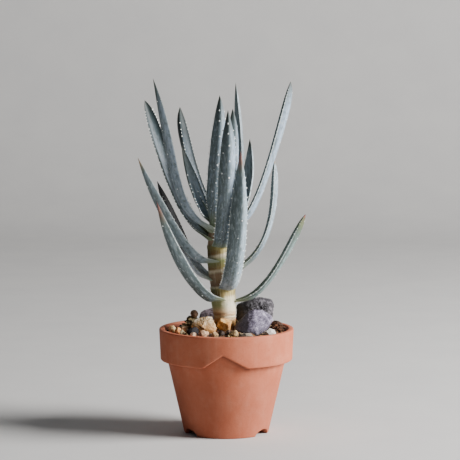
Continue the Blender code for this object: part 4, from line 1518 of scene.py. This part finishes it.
# %% Finish of the leaves
def make_leaf_finish(end):
    leaf = Finish("leaf_skin_" + end, 0.50)
    green, wax = LEAF_SKINS.get(end, USUAL_SKIN)
    streaks = leaf.veins(0.5, 16.0)
    skin, wax_and_painted_light = wax_with_painted_light(leaf, green, wax)
    skin = flecked(leaf, skin, streaks, green, wax)
    skin = bordered(leaf, skin, streaks)
    leaf.colour(coloured_tip(leaf, skin, end))
    leaf.roughness(leaf.ramp(wax_and_painted_light, (0.0, 0.42), (1.0, 0.60)))
    leaf.relief(streaks, 0.06)
    leaf.relief(leaf.noise(1.6, 3.0), 0.05)
    return leaf.material


LEAF_FINISHES = {end: make_leaf_finish(end) for end in LEAF_ENDS}
print("leaf finishes:", ", ".join(LEAF_FINISHES))

# %% [markdown]
# ## Each leaf's own state
# No two leaves of a plant have lived alike: some were rubbed, some kept the white bloom that they had
# when young. These few numbers tell how each one differs from the usual, and some set painted light:
# where the lamp is, and how much paler or darker each leaf is painted, partly for the light it gets.

# %% Where the lamp is, for the painted light, and how much paler or darker than usual each leaf is painted, partly as painted light and partly as its own tone
PAINTED_LIGHT_FROM = np.array([0.94, -0.20, 0.28])
WAX_AND_PAINTED_LIGHT = {
    "leaf_01": -0.22,
    "leaf_02": -0.12,
    "leaf_05": 0.50,
    "leaf_07": 0.05,
    "leaf_09": 0.02,
    "leaf_10": -0.04,
    "leaf_11": 0.60,
    "leaf_12": 0.34,
    "leaf_13": 0.16,
    "leaf_15": 0.50,
    "leaf_17": 0.34,
}

# %% White bloom near the roots: how thick, and to what share of the length
BLOOM = {
    "leaf_03": (0.75, 0.42),
    "leaf_05": (1.0, 1.10),
    "leaf_07": (0.35, 1.0),
    "leaf_10": (1.0, 0.95),
    "leaf_12": (0.30, 1.6),
    "leaf_16": (0.75, 0.80),
}

# %% The green line along the margins: how dark, and how far out it starts. Its darkness is partly painted shade, most on leaf_10, leaf_15 and leaf_16
EDGING = {
    "leaf_01": (0.6, 0.72),
    "leaf_02": (0.5, 0.76),
    "leaf_10": (1.0, 0.52),
    "leaf_12": (0.4, 0.74),
    "leaf_15": (0.8, 0.74),
    "leaf_16": (0.9, 0.70),
}
USUAL_EDGING = (0.15, 0.76)
EDGING_REACH = 0.14

# %% How far up from the root the green of the sheath goes
GREEN_ROOT = {"leaf_03": 5.0}
USUAL_GREEN = 16.0


# %% Numbers that every point of a leaf carries, section by section, and last of all the tip
def leaf_numbers(name, share, across, under, length, half):
    rings = len(share)
    shares = np.append(np.repeat(share, len(across)), 1.0)
    strength, start = EDGING.get(name, USUAL_EDGING)
    line = strength * np.clip((np.abs(across) - start) / EDGING_REACH, 0.0, 1.0)
    powder, reach = BLOOM.get(name, (0.0, 1.0))
    return {
        "to_tip": np.minimum((1.0 - shares) * length / END_SPAN, 1.0),
        "along": shares * length,
        "across": np.append((half * across).ravel(), 0.0),
        "edge": np.append(np.tile(np.abs(across), rings), 1.0),
        "upper": np.append(np.tile(1.0 - under, rings), 0.0),
        "edging": np.append(np.tile(line, rings), 0.0),
        "bloom": powder * (1.0 - ease(shares / reach)),
        "root": np.clip(shares * length / GREEN_ROOT.get(name, USUAL_GREEN), 0.0, 1.0),
    }


# %% The leaves
def make_leaf(name):
    points, share, across, under, length, half = leaf_skin(name)
    rings, places, _ = points.shape
    points = np.concatenate([points.reshape(-1, 3), [LEAVES[name].tip]])
    tip = len(points) - 1
    last = tip - places
    faces = ring_faces(rings, places) + [tuple(range(places))]
    faces += [(last + k, last + (k + 1) % places, tip) for k in range(places)]
    piece = make_piece(name + "_blade", points, faces, LEAF_FINISHES[LEAVES[name].end], 48)
    # Each point's share of painted light: how far it faces the lamp, shifted leaf by leaf.
    normals = np.array([corner.normal for corner in piece.data.vertices])
    carry(piece, sunny=0.5 + 0.5 * (normals @ PAINTED_LIGHT_FROM) + WAX_AND_PAINTED_LIGHT.get(name, 0.0))
    carry(piece, **leaf_numbers(name, share, across, under, length, half))
    return place(piece, "leaf", name)


for leaf_name in LEAVES:
    make_leaf(leaf_name)
print("leaves:", len(LEAVES))

# %% [markdown]
# ## Teeth
# Small pale thorns stand along both margins of every leaf, each bent a little towards the tip.
# Relief in the finish can't give their outline against the light, so each is a thin bent cone. One
# cone could be copied as an instance many hundred times, but instances would be lost when the
# plant is handed on as a plain mesh, so all of them are joined in one.

# %% Steps between the teeth, as in the plain model; of the small ones between them, many are missing
TOOTH_STEP = 4.2
TOOTH_HEIGHT = 1.35
TOOTH_WIDTH = 0.60
TOOTH_LEAN = 0.35
TOOTH_ROOT = 0.25
SMALL_TOOTH = 0.7
LEAST_TEETH = 8
TOOTHLESS_ROOT = 3
TOOTHLESS_TIP = 2
MISSING = 0.55


# %% One tooth
def tooth(foot, outward, forward, upward, height):
    sides = 7
    points = []
    steps = np.linspace(0.0, 1.0, 6)
    for t in steps[:-1]:
        out = (1.0 + TOOTH_ROOT) * t - TOOTH_ROOT
        middle = foot + outward * height * out + forward * TOOTH_LEAN * height * t * t
        wide = TOOTH_WIDTH * height * (1.0 - t) ** 0.8
        for k in range(sides):
            turn = 2 * math.pi * k / sides
            points.append(middle + wide * (math.cos(turn) * forward + 0.55 * math.sin(turn) * upward))
    points.append(foot + outward * height + forward * TOOTH_LEAN * height)
    faces = []
    for a, b, c, d in ring_faces(len(steps) - 1, sides):
        faces += [(a, b, c), (a, c, d)]
    last = (len(steps) - 2) * sides
    faces += [(last + k, last + (k + 1) % sides, len(points) - 1) for k in range(sides)]
    faces += [(0, k + 1, k) for k in range(1, sides - 1)]
    return np.array(points), faces


# %% All the teeth
def make_teeth():
    rng = np.random.default_rng(3)
    heap = Heap()
    for name in LEAVES:
        count = max(LEAST_TEETH, round(leaf_length(name) / TOOTH_STEP))
        share = (np.arange(TOOTHLESS_ROOT, count - TOOTHLESS_TIP, 0.5) + 0.55) / count
        line, forward, sideways, upward = leaf_line(name, share)
        half = leaf_width(name, share) / 2
        for i, s in enumerate(share):
            main = i % 2 == 0
            for side in (1.0, -1.0):
                grown = (1.0 - 0.25 * s) * (1.0 if main else SMALL_TOOTH)
                height = TOOTH_HEIGHT * grown * rng.uniform(0.7, 1.0)
                if not main and rng.uniform() < MISSING:
                    continue
                foot = line[i] + side * half[i] * sideways[i]
                heap.add(*tooth(foot, side * sideways[i], forward[i], upward[i], height))
    finish = Finish("tooth", 0.45)
    finish.colour(finish.ramp(finish.noise(0.8, 2.0), (0.3, (222, 226, 220)), (0.7, (244, 246, 242))))
    place(heap.make("leaf_teeth", finish.material, 40), "leaf")


make_teeth()

# %% [markdown]
# ## Pearly dots
# The backs of the leaves carry scattered white dots, each a small raised dome. They stand in
# loose rows on both sides of the keel. They could be painted on, but raised ones catch the light,
# as the real ones do. Each is a flattened ball set into the skin.


# %% A point of a leaf's back and the way it faces
def back_point(name, share, across):
    line, forward, sideways, upward = leaf_line(name, [share, share + 0.01])
    half = leaf_width(name, share) / 2
    depth = leaf_depth(name, share)
    keel = LEAVES[name].keel
    here = back_shape(across, keel)
    slope = (back_shape(across + 0.02, keel) - here) / 0.02
    point = line[0] + half * across * sideways[0] - depth * here * upward[0]
    outward = unit(-half * upward[0] - depth * slope * sideways[0])
    return point, outward, forward[0]


# %% Dots on the two front leaves: share of the way to the tip, and place across
PLACED = {
    "leaf_14": ((0.53, -0.10), (0.60, -0.05), (0.72, 0.05), (0.82, 0.30), (0.89, 0.45)),
    "leaf_09": (
        (0.65, 0.05),
        (0.67, 0.75),
        (0.74, 0.05),
        (0.78, 0.75),
        (0.82, 0.10),
        (0.88, 0.25),
        (0.93, 0.30),
    ),
}


# %% Dots on all the leaves: where they begin and end, their steps, how far they stand from the keel
DOTS_FROM = 17.0
DOTS_TO = 0.93
DOT_STEPS = (4.0, 10.0)
OFF_THE_KEEL = (0.08, 0.5)
OTHER_SIDE = 0.75


def scattered(rng, length):
    """Places in loose rows on both sides of the keel."""
    at = DOTS_FROM + rng.uniform(0, 4)
    side = 1.0
    places = []
    while at < DOTS_TO * length:
        places.append((at / length, side * rng.uniform(*OFF_THE_KEEL)))
        at += rng.uniform(*DOT_STEPS)
        side = -side if rng.uniform() < OTHER_SIDE else side
    return places


# %% The dots: their radii, and how high their domes are
DRAWN_SIZES = (0.28, 0.50)
PLACED_SIZES = (0.50, 0.64)
DOME = 0.62


def make_pearls():
    rng = np.random.default_rng(21)
    heap = Heap()
    for name in LEAVES:
        drawn = scattered(rng, leaf_length(name))
        seen = PLACED.get(name, ())
        kept = [(share, across, DRAWN_SIZES) for share, across in drawn if not seen or share < 0.5]
        kept += [(share, across, PLACED_SIZES) for share, across in seen]
        for share, across, sizes in kept:
            point, outward, forward = back_point(name, share, across)
            shape, faces = ball(2)
            sideways = np.cross(outward, forward)
            dome = shape * (1.0, 1.0, DOME) @ np.stack([forward, sideways, outward])
            heap.add(point + rng.uniform(*sizes) * dome, faces)
    finish = Finish("pearl", 0.5)
    finish.colour(finish.ramp(finish.noise(0.6, 2.0), (0.3, (222, 228, 228)), (0.7, (244, 246, 246))))
    place(heap.make("leaf_pearls", finish.material, 0), "leaf")


make_pearls()
